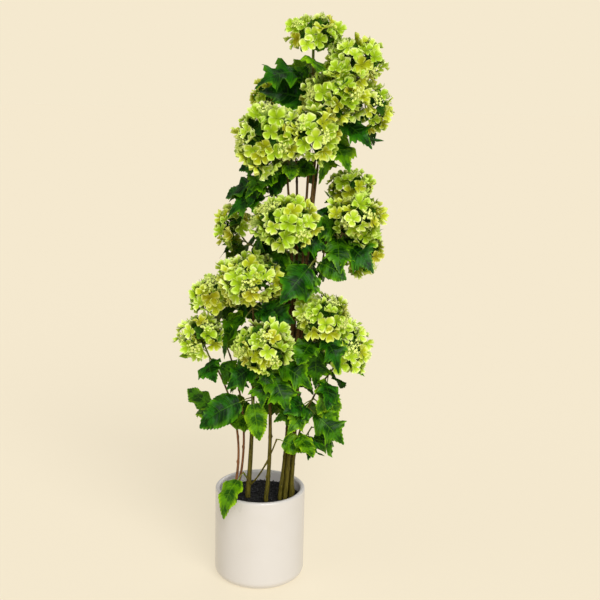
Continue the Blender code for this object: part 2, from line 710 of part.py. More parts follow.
def spray_leaves(room, owner, dice):
    """The leaves of a spray, spaced up its stem; one that finds no room is left out."""
    spray = SPRAYS[owner]
    route = stem_routes(spray)[0]
    first, last = LEAFY_STALK if spray.heads else LEAFY_SHOOT
    shapes = []
    for index, (azimuth, pitch, size) in enumerate(spray.leaves):
        part = first + (last - first) * (index + 1) / len(spray.leaves)
        root = route_point(route, part)
        for attempt in range(LEAF_TRIES):
            turn = azimuth + dice.uniform(-1, 1) * LEAF_PITCH_SPREAD * (attempt + FIRST_TRY)
            tilt = pitch + dice.uniform(-1, 1) * LEAF_PITCH_SPREAD * (attempt + FIRST_TRY)
            length = LEAF_LENGTH * size * (1 + dice.uniform(-1, 1) * LEAF_LENGTH_SPREAD)
            length *= 1 - LEAF_SHRINK * attempt
            shape = leaf_shape(root, math.radians(turn), math.radians(tilt), length)
            if room.is_free(owner, shape):
                claim_shape(room, owner, shape)
                shapes.append(shape)
                break
            shape.free()
    return shapes


def fuse(name, shapes, finish, collection):
    """Join the pieces of a spray by one Boolean union on a collection, and apply it."""
    item = add_mesh(name, shapes[0], finish, collection)
    if len(shapes) == 1:
        return item
    others = make_collection(name + "_pieces")
    for index, shape in enumerate(shapes[1:]):
        add_mesh(name + "_piece_" + str(index), shape, finish, others)
    join = item.modifiers.new("Join", "BOOLEAN")
    join.operation = "UNION"
    join.operand_type = "COLLECTION"
    join.collection = others
    join.solver = SOLVER
    evaluated = item.evaluated_get(bpy.context.evaluated_depsgraph_get())
    mesh = bpy.data.meshes.new_from_object(evaluated)
    item.modifiers.clear()
    item.data = mesh
    for piece in list(others.objects):
        bpy.data.objects.remove(piece, do_unlink=True)
    bpy.data.collections.remove(others)
    keep_largest_body(mesh)
    return item


def keep_largest_body(mesh):
    """Fill sealed hollows and drop loose scraps: only the largest skin of a mesh stays."""
    shape = bmesh.new()
    shape.from_mesh(mesh)
    left = set(shape.verts)
    bodies = []
    while left:
        body = {left.pop()}
        front = list(body)
        while front:
            for edge in front.pop().link_edges:
                for vert in edge.verts:
                    if vert not in body:
                        body.add(vert)
                        front.append(vert)
        left -= body
        bodies.append(body)
    bodies.sort(key=len)
    for body in bodies[:-1]:
        bmesh.ops.delete(shape, geom=list(body), context="VERTS")
    shape.to_mesh(mesh)
    shape.free()


def add_sprays(room, collection):
    """Every spray: stems and cores take their room first, then florets, then leaves."""
    dice = {name: random.Random(name) for name in SPRAYS}
    pieces = {}
    for name, spray in SPRAYS.items():
        pieces[name] = stem_pieces(spray)
        for shape in pieces[name]:
            claim_shape(room, name, shape)
        for head in spray.heads:
            core = core_shape(head)
            claim_shape(room, name, core)
            core.free()
    for name, spray in SPRAYS.items():
        for head in spray.heads:
            pieces[name].append(head_shape(head, head_florets(room, name, head, dice[name])))
    for name, spray in SPRAYS.items():
        pieces[name] += spray_leaves(room, name, dice[name])
        fuse(name, pieces[name], "blossom" if spray.heads else "leaf", collection)


# ---------------------------------------------------------------- the whole plant
def main():
    """Build the pot, the soil, the canes, the boughs and the sprays."""
    clear_scene()
    plant = make_collection("artificial_hydrangea_in_pot")
    limbs = [add_pot(plant), add_soil(plant)]
    for name, cane in CANES.items():
        limbs.append(add_limb(name, cane, cane_route(cane), cane.bark, plant))
    for name, bough in BOUGHS.items():
        limbs.append(add_limb(name, bough, bough_route(bough), "olive", plant))
    room = Room()
    for limb in limbs:
        claim_object(room, limb)
    add_sprays(room, plant)


main()
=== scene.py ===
"""Looks of the artificial hydrangea in its white pot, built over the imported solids.

Units are metres, +Z is up and the front faces -Y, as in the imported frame.  Canes and boughs
keep the routes of the solids and get bark with relief.  Every spray is grown again by the
source's rule and carried to finer twigs: lobed leaves, flower heads of cloth florets on
pedicels, and sprays of small pale buds.
"""

import logging
import math
import random
from collections.abc import Callable, Iterable, Iterator
from dataclasses import dataclass, field
from enum import Enum
from functools import cache

import bmesh
import bpy
import numpy as np
from mathutils import Matrix, Vector
from mathutils.kdtree import KDTree


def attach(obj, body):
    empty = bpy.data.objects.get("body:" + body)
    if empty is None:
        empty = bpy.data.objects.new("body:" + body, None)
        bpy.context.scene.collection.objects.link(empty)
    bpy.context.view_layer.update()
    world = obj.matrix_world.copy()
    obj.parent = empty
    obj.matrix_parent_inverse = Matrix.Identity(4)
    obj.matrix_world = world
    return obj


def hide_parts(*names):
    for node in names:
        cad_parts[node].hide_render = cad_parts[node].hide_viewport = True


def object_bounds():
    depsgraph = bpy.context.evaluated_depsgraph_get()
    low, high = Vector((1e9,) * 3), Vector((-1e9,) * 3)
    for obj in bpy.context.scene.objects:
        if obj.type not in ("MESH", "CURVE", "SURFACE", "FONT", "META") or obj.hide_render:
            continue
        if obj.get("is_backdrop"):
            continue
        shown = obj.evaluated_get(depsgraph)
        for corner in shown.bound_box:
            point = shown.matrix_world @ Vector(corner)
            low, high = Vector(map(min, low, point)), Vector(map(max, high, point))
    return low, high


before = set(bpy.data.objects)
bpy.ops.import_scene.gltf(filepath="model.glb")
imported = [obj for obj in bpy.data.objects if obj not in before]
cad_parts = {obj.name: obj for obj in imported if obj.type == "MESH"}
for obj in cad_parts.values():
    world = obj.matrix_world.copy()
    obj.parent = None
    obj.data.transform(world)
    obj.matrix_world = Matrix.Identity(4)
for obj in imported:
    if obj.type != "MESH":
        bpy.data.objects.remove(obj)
cad_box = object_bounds()

LOG = logging.getLogger("hydrangea")
UP = Vector((0, 0, 1))
BODY = "root"
BAKE_MAP = "OFBake"
MERGE = 1e-6

# Dimensions and rules that the source of the solids has too.
POT_RADIUS = 0.075
POT_HEIGHT = 0.155
POT_WALL = 0.008
POT_FLOOR = 0.01
SOIL_LEVEL = 0.14
SOIL_FLAT = 0.06
SOIL_FALL = 0.003
CLEAR = 0.0003
CANE_POINTS = 8
BOUGH_POINTS = 5
STEM_POINTS = 3
STRAIGHT_START = 0.01
SEAT_RUN = 0.0015
SHOOT_RISE = 1.1
ARRIVE_RISE = 0.4
NEARBY = 0.002
NEARLY_UPRIGHT = 0.01
STALK_END = 0.35
STALK_SINK = 0.002
STEM_RADIUS = 0.0016
STALK_RADIUS = 0.0013
LEAFY_STALK = (0.1, 0.62)
LEAFY_SHOOT = (0.3, 0.97)
LEAF_LENGTH = 0.066
LEAF_LENGTH_SPREAD = 0.14
LEAF_DROOP = 0.3
LEAF_FOLD = 0.28
LEAF_PITCH_SPREAD = 9.0
LEAF_TRIES = 8
FIRST_TRY = 0.4
LEAF_SHRINK = 0.05
PETIOLE_LENGTH = 0.3
LEAF_SHOULDER = (0.5, 0.43)
SOLID_FLORETS_LARGE = 13
SOLID_FLORETS_SMALL = 10
SOLID_FLORET_SPREAD = 0.08
SMALL_HEAD = 0.0335
HEAD_UNDERSIDE = math.radians(125)

# Sprays of buds on a head: more of them where its radius is past LARGE_HEAD.
LARGE_HEAD = 0.036
BUD_SPRAYS_LARGE = 5
BUD_SPRAYS_SMALL = 3
# A spray of buds that leans towards the stalk by more than this is turned away from it.
BUD_LEAN = 0.2

Pair = tuple[float, float]
Three = tuple[float, float, float]
Colour = Three
Point = Three
Dice = random.Random
Shape = bmesh.types.BMesh
Mesh = bpy.types.Mesh
Material = bpy.types.Material
Node = bpy.types.Node
Socket = bpy.types.NodeSocket


# ------ choices
class BarkTone(Enum):
    """The two barks of the canes."""

    OLIVE = "cane_bark"
    RED = "cane_bark_red"


class LeafTint(Enum):
    """The printed greens of the leaves."""

    DEEP = "deep"
    MID = "mid"
    BRIGHT = "bright"
    OLIVE = "olive"


class PetalTint(Enum):
    """The colours of the florets: dyes, and for the inner layer a dark green that is painted shade."""

    LIME = "lime"
    PALE = "pale"
    YELLOW = "yellow"
    TAN = "tan"
    INNER = "inner"


# ------ paths and tubes
def nudge(dice: Dice, reach: float) -> Vector:
    """A random move of up to the reach in each coordinate."""
    return Vector([dice.uniform(-reach, reach) for _ in range(3)])


def spread_directions(count: int, dice: Dice, jitter: float) -> list[Vector]:
    """Directions over a ball on a golden-angle spiral, each moved a little at random.

    Args:
        count: How many directions.
        dice: The source of the jitter.
        jitter: The largest move of each coordinate.

    Returns:
        Unit vectors.
    """
    golden = math.pi * (3 - math.sqrt(5))
    ways = []
    for index in range(count):
        z = 1 - 2 * (index + 0.5) / count
        flat = math.sqrt(1 - z * z)
        way = Vector((flat * math.cos(golden * index), flat * math.sin(golden * index), z))
        way += nudge(dice, jitter)
        ways.append(way.normalized())
    return ways


def curve_between(start: Vector, start_way: Vector, end: Vector, end_way: Vector, count: int) -> list[Vector]:
    """Points of a Bezier that leaves and arrives along the given ways.

    Args:
        start: The first point.
        start_way: The unit way out of it.
        end: The last point.
        end_way: The unit way into it.
        count: How many spans.

    Returns:
        The points, one more than the spans.
    """
    pull = (end - start).length / 3
    first = start + start_way * pull
    second = end - end_way * pull
    points = []
    for step in range(count + 1):
        t = step / count
        s = 1 - t
        points.append(start * s**3 + first * 3 * s * s * t + second * 3 * s * t * t + end * t**3)
    return points


def rising(way: Vector) -> Vector:
    """The way in which a shoot grows on from its seat: outwards and up."""
    return (way + UP * SHOOT_RISE).normalized()


def across(way: Vector, previous: Vector | None = None) -> Vector:
    """A unit vector square to the way, kept close to the previous one.

    Args:
        way: The way.
        previous: The side vector just before, or None at the start.

    Returns:
        The vector.
    """
    side = previous if previous is not None else way.cross(UP)
    if side.length < NEARLY_UPRIGHT:
        side = Vector((1, 0, 0))
    return (side - way * side.dot(way)).normalized()


def route_point(route: list[Vector], part: float) -> Vector:
    """The point at a part of a route's length.

    Args:
        route: The corners of the route.
        part: From 0 at its start to 1 at its end.

    Returns:
        The point.
    """
    spans = [(b - a).length for a, b in zip(route, route[1:])]
    left = part * sum(spans)
    for start, end, span in zip(route, route[1:], spans):
        if left <= span:
            return start.lerp(end, left / span)
        left -= span
    return route[-1]


@dataclass
class Path:
    """A smooth line: rows of places, two side vectors at each, and the run from its start to each."""

    places: np.ndarray
    sides: np.ndarray
    others: np.ndarray
    run: np.ndarray

    @classmethod
    def through(cls, route: list[Vector], step: float) -> "Path":
        """A path through a route's corners, with places about a step apart.

        Args:
            route: The corners.
            step: The distance between places.

        Returns:
            The path.
        """
        ends = [route[0] * 2 - route[1]] + route + [route[-1] * 2 - route[-2]]
        places = []
        for before, start, end, after in zip(ends, ends[1:], ends[2:], ends[3:]):
            count = max(1, round((end - start).length / step))
            for index in range(count):
                t = index / count
                bend = (end - before) * t + (before * 2 - start * 5 + end * 4 - after) * t**2
                bend += (start * 3 - before - end * 3 + after) * t**3
                places.append(start + bend / 2)
        places.append(route[-1])
        last = len(places) - 1
        sides, others, run = [], [], [0.0]
        side = None
        for index, place in enumerate(places):
            way = (places[min(index + 1, last)] - places[max(index - 1, 0)]).normalized()
            side = across(way, side)
            sides.append(side)
            others.append(way.cross(side))
            if index:
                run.append(run[-1] + (place - places[index - 1]).length)
        return cls(np.array(places), np.array(sides), np.array(others), np.array(run))


# ------ shapes that repeat
@dataclass
class Template:
    """A small shape kept as arrays, so that many copies of it can be joined quickly.

    Args:
        points: The corners, one row each.
        corners: The corner of every face loop.
        starts: The first loop of every face.
        uv: The place of every loop on the bake map.
    """

    points: np.ndarray
    corners: np.ndarray
    starts: np.ndarray
    uv: np.ndarray

    @classmethod
    def from_shape(cls, shape: Shape) -> "Template":
        """Take the arrays of a bmesh that carries the bake map, and free it.

        Args:
            shape: The bmesh.

        Returns:
            The template.
        """
        shape.verts.index_update()
        layer = shape.loops.layers.uv[BAKE_MAP]
        corners, starts, uv = [], [], []
        for face in shape.faces:
            starts.append(len(corners))
            for loop in face.loops:
                corners.append(loop.vert.index)
                uv.append(tuple(loop[layer].uv))
        points = np.array([tuple(vert.co) for vert in shape.verts])
        shape.free()
        return cls(points, np.array(corners), np.array(starts), np.array(uv))


def smooth(mesh: Mesh, sharp_angle: float) -> None:
    """Smooth a mesh but for the edges that bend by more degrees than the angle."""
    mesh.shade_smooth()
    mesh.set_sharp_from_angle(angle=math.radians(sharp_angle))


@dataclass
class Batch:
    """Copies of templates on their way to become one joined mesh.

    Args:
        copies: The template of each copy, and where its corners are.
        owners: The CAD nodes that the copies stand for.
    """

    copies: list[tuple[Template, np.ndarray]] = field(default_factory=list)
    owners: set[str] = field(default_factory=set)

    def add(self, template: Template, points: np.ndarray, owner: str) -> None:
        """Add one copy, with its corners at the points, for its CAD node."""
        self.copies.append((template, points))
        self.owners.add(owner)

    def mesh(self, name: str, sharp_angle: float) -> Mesh:
        """Join the copies.

        Args:
            name: The name of the mesh.
            sharp_angle: Edges that bend by more degrees than this stay sharp.

        Returns:
            The mesh, smooth, with its bake map.
        """
        templates = [template for template, _ in self.copies]
        points = np.concatenate([points for _, points in self.copies]).astype(np.float32)
        point_counts = np.cumsum([0] + [len(template.points) for template in templates])
        loop_counts = np.cumsum([0] + [len(template.corners) for template in templates])
        corners = np.concatenate([one.corners + count for one, count in zip(templates, point_counts)])
        starts = np.concatenate([one.starts + count for one, count in zip(templates, loop_counts)])
        mesh = bpy.data.meshes.new(name)
        mesh.vertices.add(len(points))
        mesh.vertices.foreach_set("co", points.ravel())
        mesh.loops.add(len(corners))
        mesh.loops.foreach_set("vertex_index", corners.astype(np.int32))
        mesh.polygons.add(len(starts))
        mesh.polygons.foreach_set("loop_start", starts.astype(np.int32))
        layer = mesh.uv_layers.new(name=BAKE_MAP)
        uv = np.concatenate([one.uv for one in templates]).astype(np.float32)
        layer.uv.foreach_set("vector", uv.ravel())
        mesh.update(calc_edges=True)
        mesh.validate()
        smooth(mesh, sharp_angle)
        return mesh

    def dress(self, name: str, sharp_angle: float, finish: "Finish", slot: str) -> None:
        """Join the copies and add them to the scene as one piece."""
        add_piece(self.mesh(name, sharp_angle), finish, self.owners)


def mapped_shape() -> Shape:
    """Make an empty bmesh that carries the bake map.

    Returns:
        The bmesh.
    """
    shape = bmesh.new()
    shape.loops.layers.uv.new(BAKE_MAP)
    return shape


def lay_out(shape: Shape, corners: Iterable[bmesh.types.BMVert], spot: Callable[[Vector], Pair]) -> None:
    """Lay the faces at some corners on the bake map.

    Args:
        shape: The bmesh.
        corners: The corners.
        spot: Where a corner's place falls on the map.
    """
    layer = shape.loops.layers.uv[BAKE_MAP]
    for face in {face for corner in corners for face in corner.link_faces}:
        for loop in face.loops:
            loop[layer].uv = spot(loop.vert.co)


@cache
def tube_template(sides: int, rings: int) -> Template:
    """A unit tube: a circle in X and Y, from 0 to 1 in Z, with closed ends.

    Args:
        sides: Corners of the circle.
        rings: Spans along the tube, 2 or more.

    Returns:
        The template.
    """
    shape = mapped_shape()
    lift = Matrix.Translation((0, 0, 0.5))
    bmesh.ops.create_cone(
        shape, cap_ends=True, segments=sides, radius1=1, radius2=1, depth=1, matrix=lift
    )
    upright = [edge for edge in shape.edges if abs(edge.verts[0].co.z - edge.verts[1].co.z) > 0.5]
    bmesh.ops.subdivide_edges(shape, edges=upright, cuts=rings - 1, use_grid_fill=True)
    layer = shape.loops.layers.uv[BAKE_MAP]
    shape.normal_update()
    for face in shape.faces:
        middle = face.calc_center_median()
        turn = math.atan2(middle.y, middle.x)
        for loop in face.loops:
            place = loop.vert.co
            if abs(face.normal.z) > 0.5:
                loop[layer].uv = (0.02 + 0.01 * place.x, 0.02 + 0.01 * place.y)
                continue
            own = math.atan2(place.y, place.x)
            own += 2 * math.pi * round((turn - own) / (2 * math.pi))
            loop[layer].uv = (0.04 + 0.94 * place.z, 0.5 + 0.8 * own / (2 * math.pi + 2))
    return Template.from_shape(shape)


def sweep(template: Template, path: Path, radii: np.ndarray) -> np.ndarray:
    """Bend a unit tube along a path.

    Args:
        template: The unit tube, with as many spans as the path has.
        path: The path.
        radii: The radius at every corner of the tube, or at every place of the path.

    Returns:
        The corners.
    """
    ring = np.rint(template.points[:, 2] * (len(path.places) - 1)).astype(int)
    around = template.points[:, :1] * path.sides[ring] + template.points[:, 1:2] * path.others[ring]
    wide = radii if len(radii) == len(ring) else radii[ring]
    return path.places[ring] + around * wide[:, None]


@dataclass(frozen=True)
class Wire:
    """A thin tapering stalk.

    Args:
        foot: Radius at its lower end.
        tip: Radius at its upper end.
        sides: Corners of its circle.
        step: Length of a span along it.
    """

    foot: float
    tip: float
    sides: int
    step: float

    def grow(self, batch: Batch, route: list[Vector], owner: str) -> None:
        """Add the stalk to a batch.

        Args:
            batch: Where it goes.
            route: Its corners.
            owner: The CAD node it stands for.
        """
        path = Path.through(route, self.step)
        template = tube_template(self.sides, len(path.places) - 1)
        wide = np.interp(path.run, (0, path.run[-1]), (self.foot, self.tip))
        batch.add(template, sweep(template, path, wide), owner)


# ------ the plant's plan
@dataclass(frozen=True)
class Cane:
    """A cane that stands on the soil and bows through foot (in X and Y), waist and tip."""

    foot: Pair
    waist: Point
    tip: Point
    foot_radius: float
    tip_radius: float
    bark: BarkTone = BarkTone.OLIVE

    def at(self, height: float) -> Vector:
        """Centre of the cane at a height.

        Args:
            height: The height above the ground.

        Returns:
            The point.
        """
        marks = (Vector((*self.foot, SOIL_LEVEL)), Vector(self.waist), Vector(self.tip))
        place = Vector((0, 0, 0))
        for own in marks:
            weight = 1.0
            for other in marks:
                if other is not own:
                    weight *= (height - other.z) / (own.z - other.z)
            place += own * weight
        return place

    def radius(self, height: float) -> float:
        """Radius at a height, tapering evenly from foot to tip."""
        part = (height - SOIL_LEVEL) / (self.tip[2] - SOIL_LEVEL)
        return self.foot_radius + (self.tip_radius - self.foot_radius) * part

    def seat(self, height: float, target: Vector) -> tuple[Vector, Vector]:
        """Start of a shoot on the cane's side.

        Args:
            height: The height of the seat.
            target: Where the shoot is going.

        Returns:
            The place, just clear of the bark, and the way out.
        """
        centre = self.at(height)
        tangent = (self.at(height + NEARBY) - self.at(height - NEARBY)).normalized()
        way = target - centre
        way = (way - tangent * way.dot(tangent)).normalized()
        return centre + way * (self.radius(height) + CLEAR), way

    def route(self) -> list[Vector]:
        """The way of the cane from its flat cut on the soil to its tip.

        Returns:
            Its corners.
        """
        foot = Vector((*self.foot, SOIL_LEVEL + CLEAR))
        parts = [step / CANE_POINTS for step in range(1, CANE_POINTS + 1)]
        rise = self.tip[2] - SOIL_LEVEL
        return [foot, foot + UP * STRAIGHT_START] + [self.at(SOIL_LEVEL + rise * part) for part in parts]


@dataclass(frozen=True)
class Bough:
    """A bough that leaves its carrier, a cane, at a height, and ends where a spray takes over."""

    carrier: str
    height: float
    tip: Point
    foot_radius: float
    tip_radius: float
    bark: BarkTone = BarkTone.OLIVE

    def route(self) -> list[Vector]:
        """The way of the bough: square out of the cane, then bending up to the tip.

        Returns:
            Its corners.
        """
        tip = Vector(self.tip)
        start, way = CANES[self.carrier].seat(self.height, tip)
        knee = start + way * SEAT_RUN
        arrive = ((tip - knee).normalized() + UP * ARRIVE_RISE).normalized()
        return [start] + curve_between(knee, rising(way), tip, arrive, BOUGH_POINTS)


@dataclass(frozen=True)
class Head:
    """A domed flower head: its centre, half its width and half its height."""

    x: float
    y: float
    z: float
    radius: float
    half_height: float

    @property
    def centre(self) -> Vector:
        """The middle of the head."""
        return Vector((self.x, self.y, self.z))

    @property
    def stretch(self) -> Vector:
        """What turns the unit ball into the head."""
        return Vector((self.radius, self.radius, self.half_height))

    def depth(self, place: Vector) -> float:
        """How far out of the head a place is: below 1 is inside, and 1 is on its skin."""
        offset = place - self.centre
        return Vector([part / size for part, size in zip(offset, self.stretch)]).length


@dataclass(frozen=True)
class Spray:
    """A stem with its stalks, flower heads and leaves.

    Args:
        carrier: The cane or bough that it grows from.
        height: The height of its seat, or None where it grows on from a tip.
        node: Where the stalks part.
        heads: Its flower heads.
        leaves: Azimuth, pitch and size of each leaf, from the lowest up.
    """

    carrier: str
    height: float | None
    node: Point
    heads: tuple[Head, ...]
    leaves: tuple[Three, ...]

    @property
    def leafy(self) -> Pair:
        """The part of the stem that carries leaves."""
        return LEAFY_STALK if self.heads else LEAFY_SHOOT

    def below(self, head: Head) -> Vector:
        """The way from the centre of a head to where the stalks part."""
        return (Vector(self.node) - head.centre).normalized()

    def hub(self, head: Head) -> Vector:
        """Where the stalk ends inside a head."""
        return head.centre + self.below(head) * STALK_END * min(head.radius, head.half_height)

    def start(self) -> tuple[Vector, Vector]:
        """Find where the stem starts, just clear of its carrier.

        Returns:
            The place, and the way out.
        """
        if self.height is not None:
            return CANES[self.carrier].seat(self.height, Vector(self.node))
        route = LIMBS[self.carrier].route()
        way = (route[-1] - route[-2]).normalized()
        return route[-1] + way * CLEAR, way

    def routes(self) -> list[list[Vector]]:
        """Lead the stem through the node and a stalk into each head.

        Returns:
            The corners of the stem, then of each further stalk.
        """
        start, way = self.start()
        node = Vector(self.node)
        knee = start + way * SEAT_RUN
        onward = (self.heads[0].centre - node if self.heads else node - knee).normalized()
        grow = way if self.height is None else rising(way)
        routes = [[start] + curve_between(knee, grow, node, onward, STEM_POINTS)]
        for index, head in enumerate(self.heads):
            arrive = self.hub(head)
            if index:
                routes.append([node - onward * STALK_SINK, node.lerp(arrive, 0.5), arrive])
            else:
                routes[0].append(arrive)
        return routes


CANES = {
    "cane_top": Cane((0.043, -0.025), (0.0575, -0.02, 0.42), (0.073, 0.018, 0.815), 0.0036, 0.0016),
    "cane_upper_left": Cane((0.034, -0.021), (0.0485, -0.014, 0.42), (0.036, 0.0, 0.672), 0.0036, 0.0018),
    "cane_upper_right": Cane((0.052, -0.019), (0.063, -0.01, 0.42), (0.082, 0.024, 0.745), 0.0036, 0.0018),
    "cane_right": Cane((0.048, -0.006), (0.0615, 0.001, 0.42), (0.085, 0.048, 0.7), 0.0034, 0.0018),
    "cane_middle": Cane((0.036, -0.011), (0.046, -0.005, 0.36), (0.038, -0.006, 0.545), 0.0034, 0.0018),
    "cane_back": Cane((0.038, 0.002), (0.052, 0.009, 0.42), (0.05, 0.034, 0.69), 0.0034, 0.0018),
    "cane_left_centre": Cane(
        (-0.02, -0.014), (-0.0135, -0.014, 0.3), (-0.014, -0.022, 0.45), 0.0042, 0.0016),
    "cane_centre": Cane((0.011, -0.029), (0.016, -0.028, 0.27), (0.012, -0.034, 0.365), 0.0038, 0.0022),
    "cane_left_outer": Cane(
        (-0.045, 0.0), (-0.046, 0.0, 0.285), (-0.074, -0.006, 0.362), 0.0024, 0.0013, BarkTone.RED),
    "cane_left_inner": Cane(
        (-0.039, 0.007), (-0.03, 0.004, 0.27), (-0.06, 0.004, 0.4), 0.0022, 0.0013, BarkTone.RED),
    "cane_right_thin": Cane((0.056, -0.006), (0.0615, -0.002, 0.24), (0.092, -0.012, 0.33), 0.002, 0.0014),
}

BOUGHS = {
    "bough_right_middle": Bough("cane_upper_right", 0.475, (0.1, 0.0, 0.573), 0.0018, 0.0014),
    "bough_right_centre": Bough("cane_upper_right", 0.36, (0.083, -0.022, 0.412), 0.0018, 0.0014),
    "bough_middle_left": Bough("cane_middle", 0.48, (-0.012, 0.02, 0.553), 0.0018, 0.0013),
    "bough_back_low": Bough("cane_back", 0.32, (0.03, 0.044, 0.36), 0.0018, 0.0014),
    "bough_back_left": Bough("cane_back", 0.4, (0.006, 0.052, 0.455), 0.0018, 0.0014),
    "bough_back_right_low": Bough("cane_right", 0.335, (0.09, 0.05, 0.385), 0.0018, 0.0014),
    "bough_back_right": Bough("cane_right", 0.48, (0.122, 0.062, 0.565), 0.0018, 0.0014),
    "bough_low_shoot": Bough("cane_left_centre", 0.165, (0.026, -0.044, 0.25), 0.0016, 0.0012),
}

LIMBS: dict[str, Cane | Bough] = {**CANES, **BOUGHS}

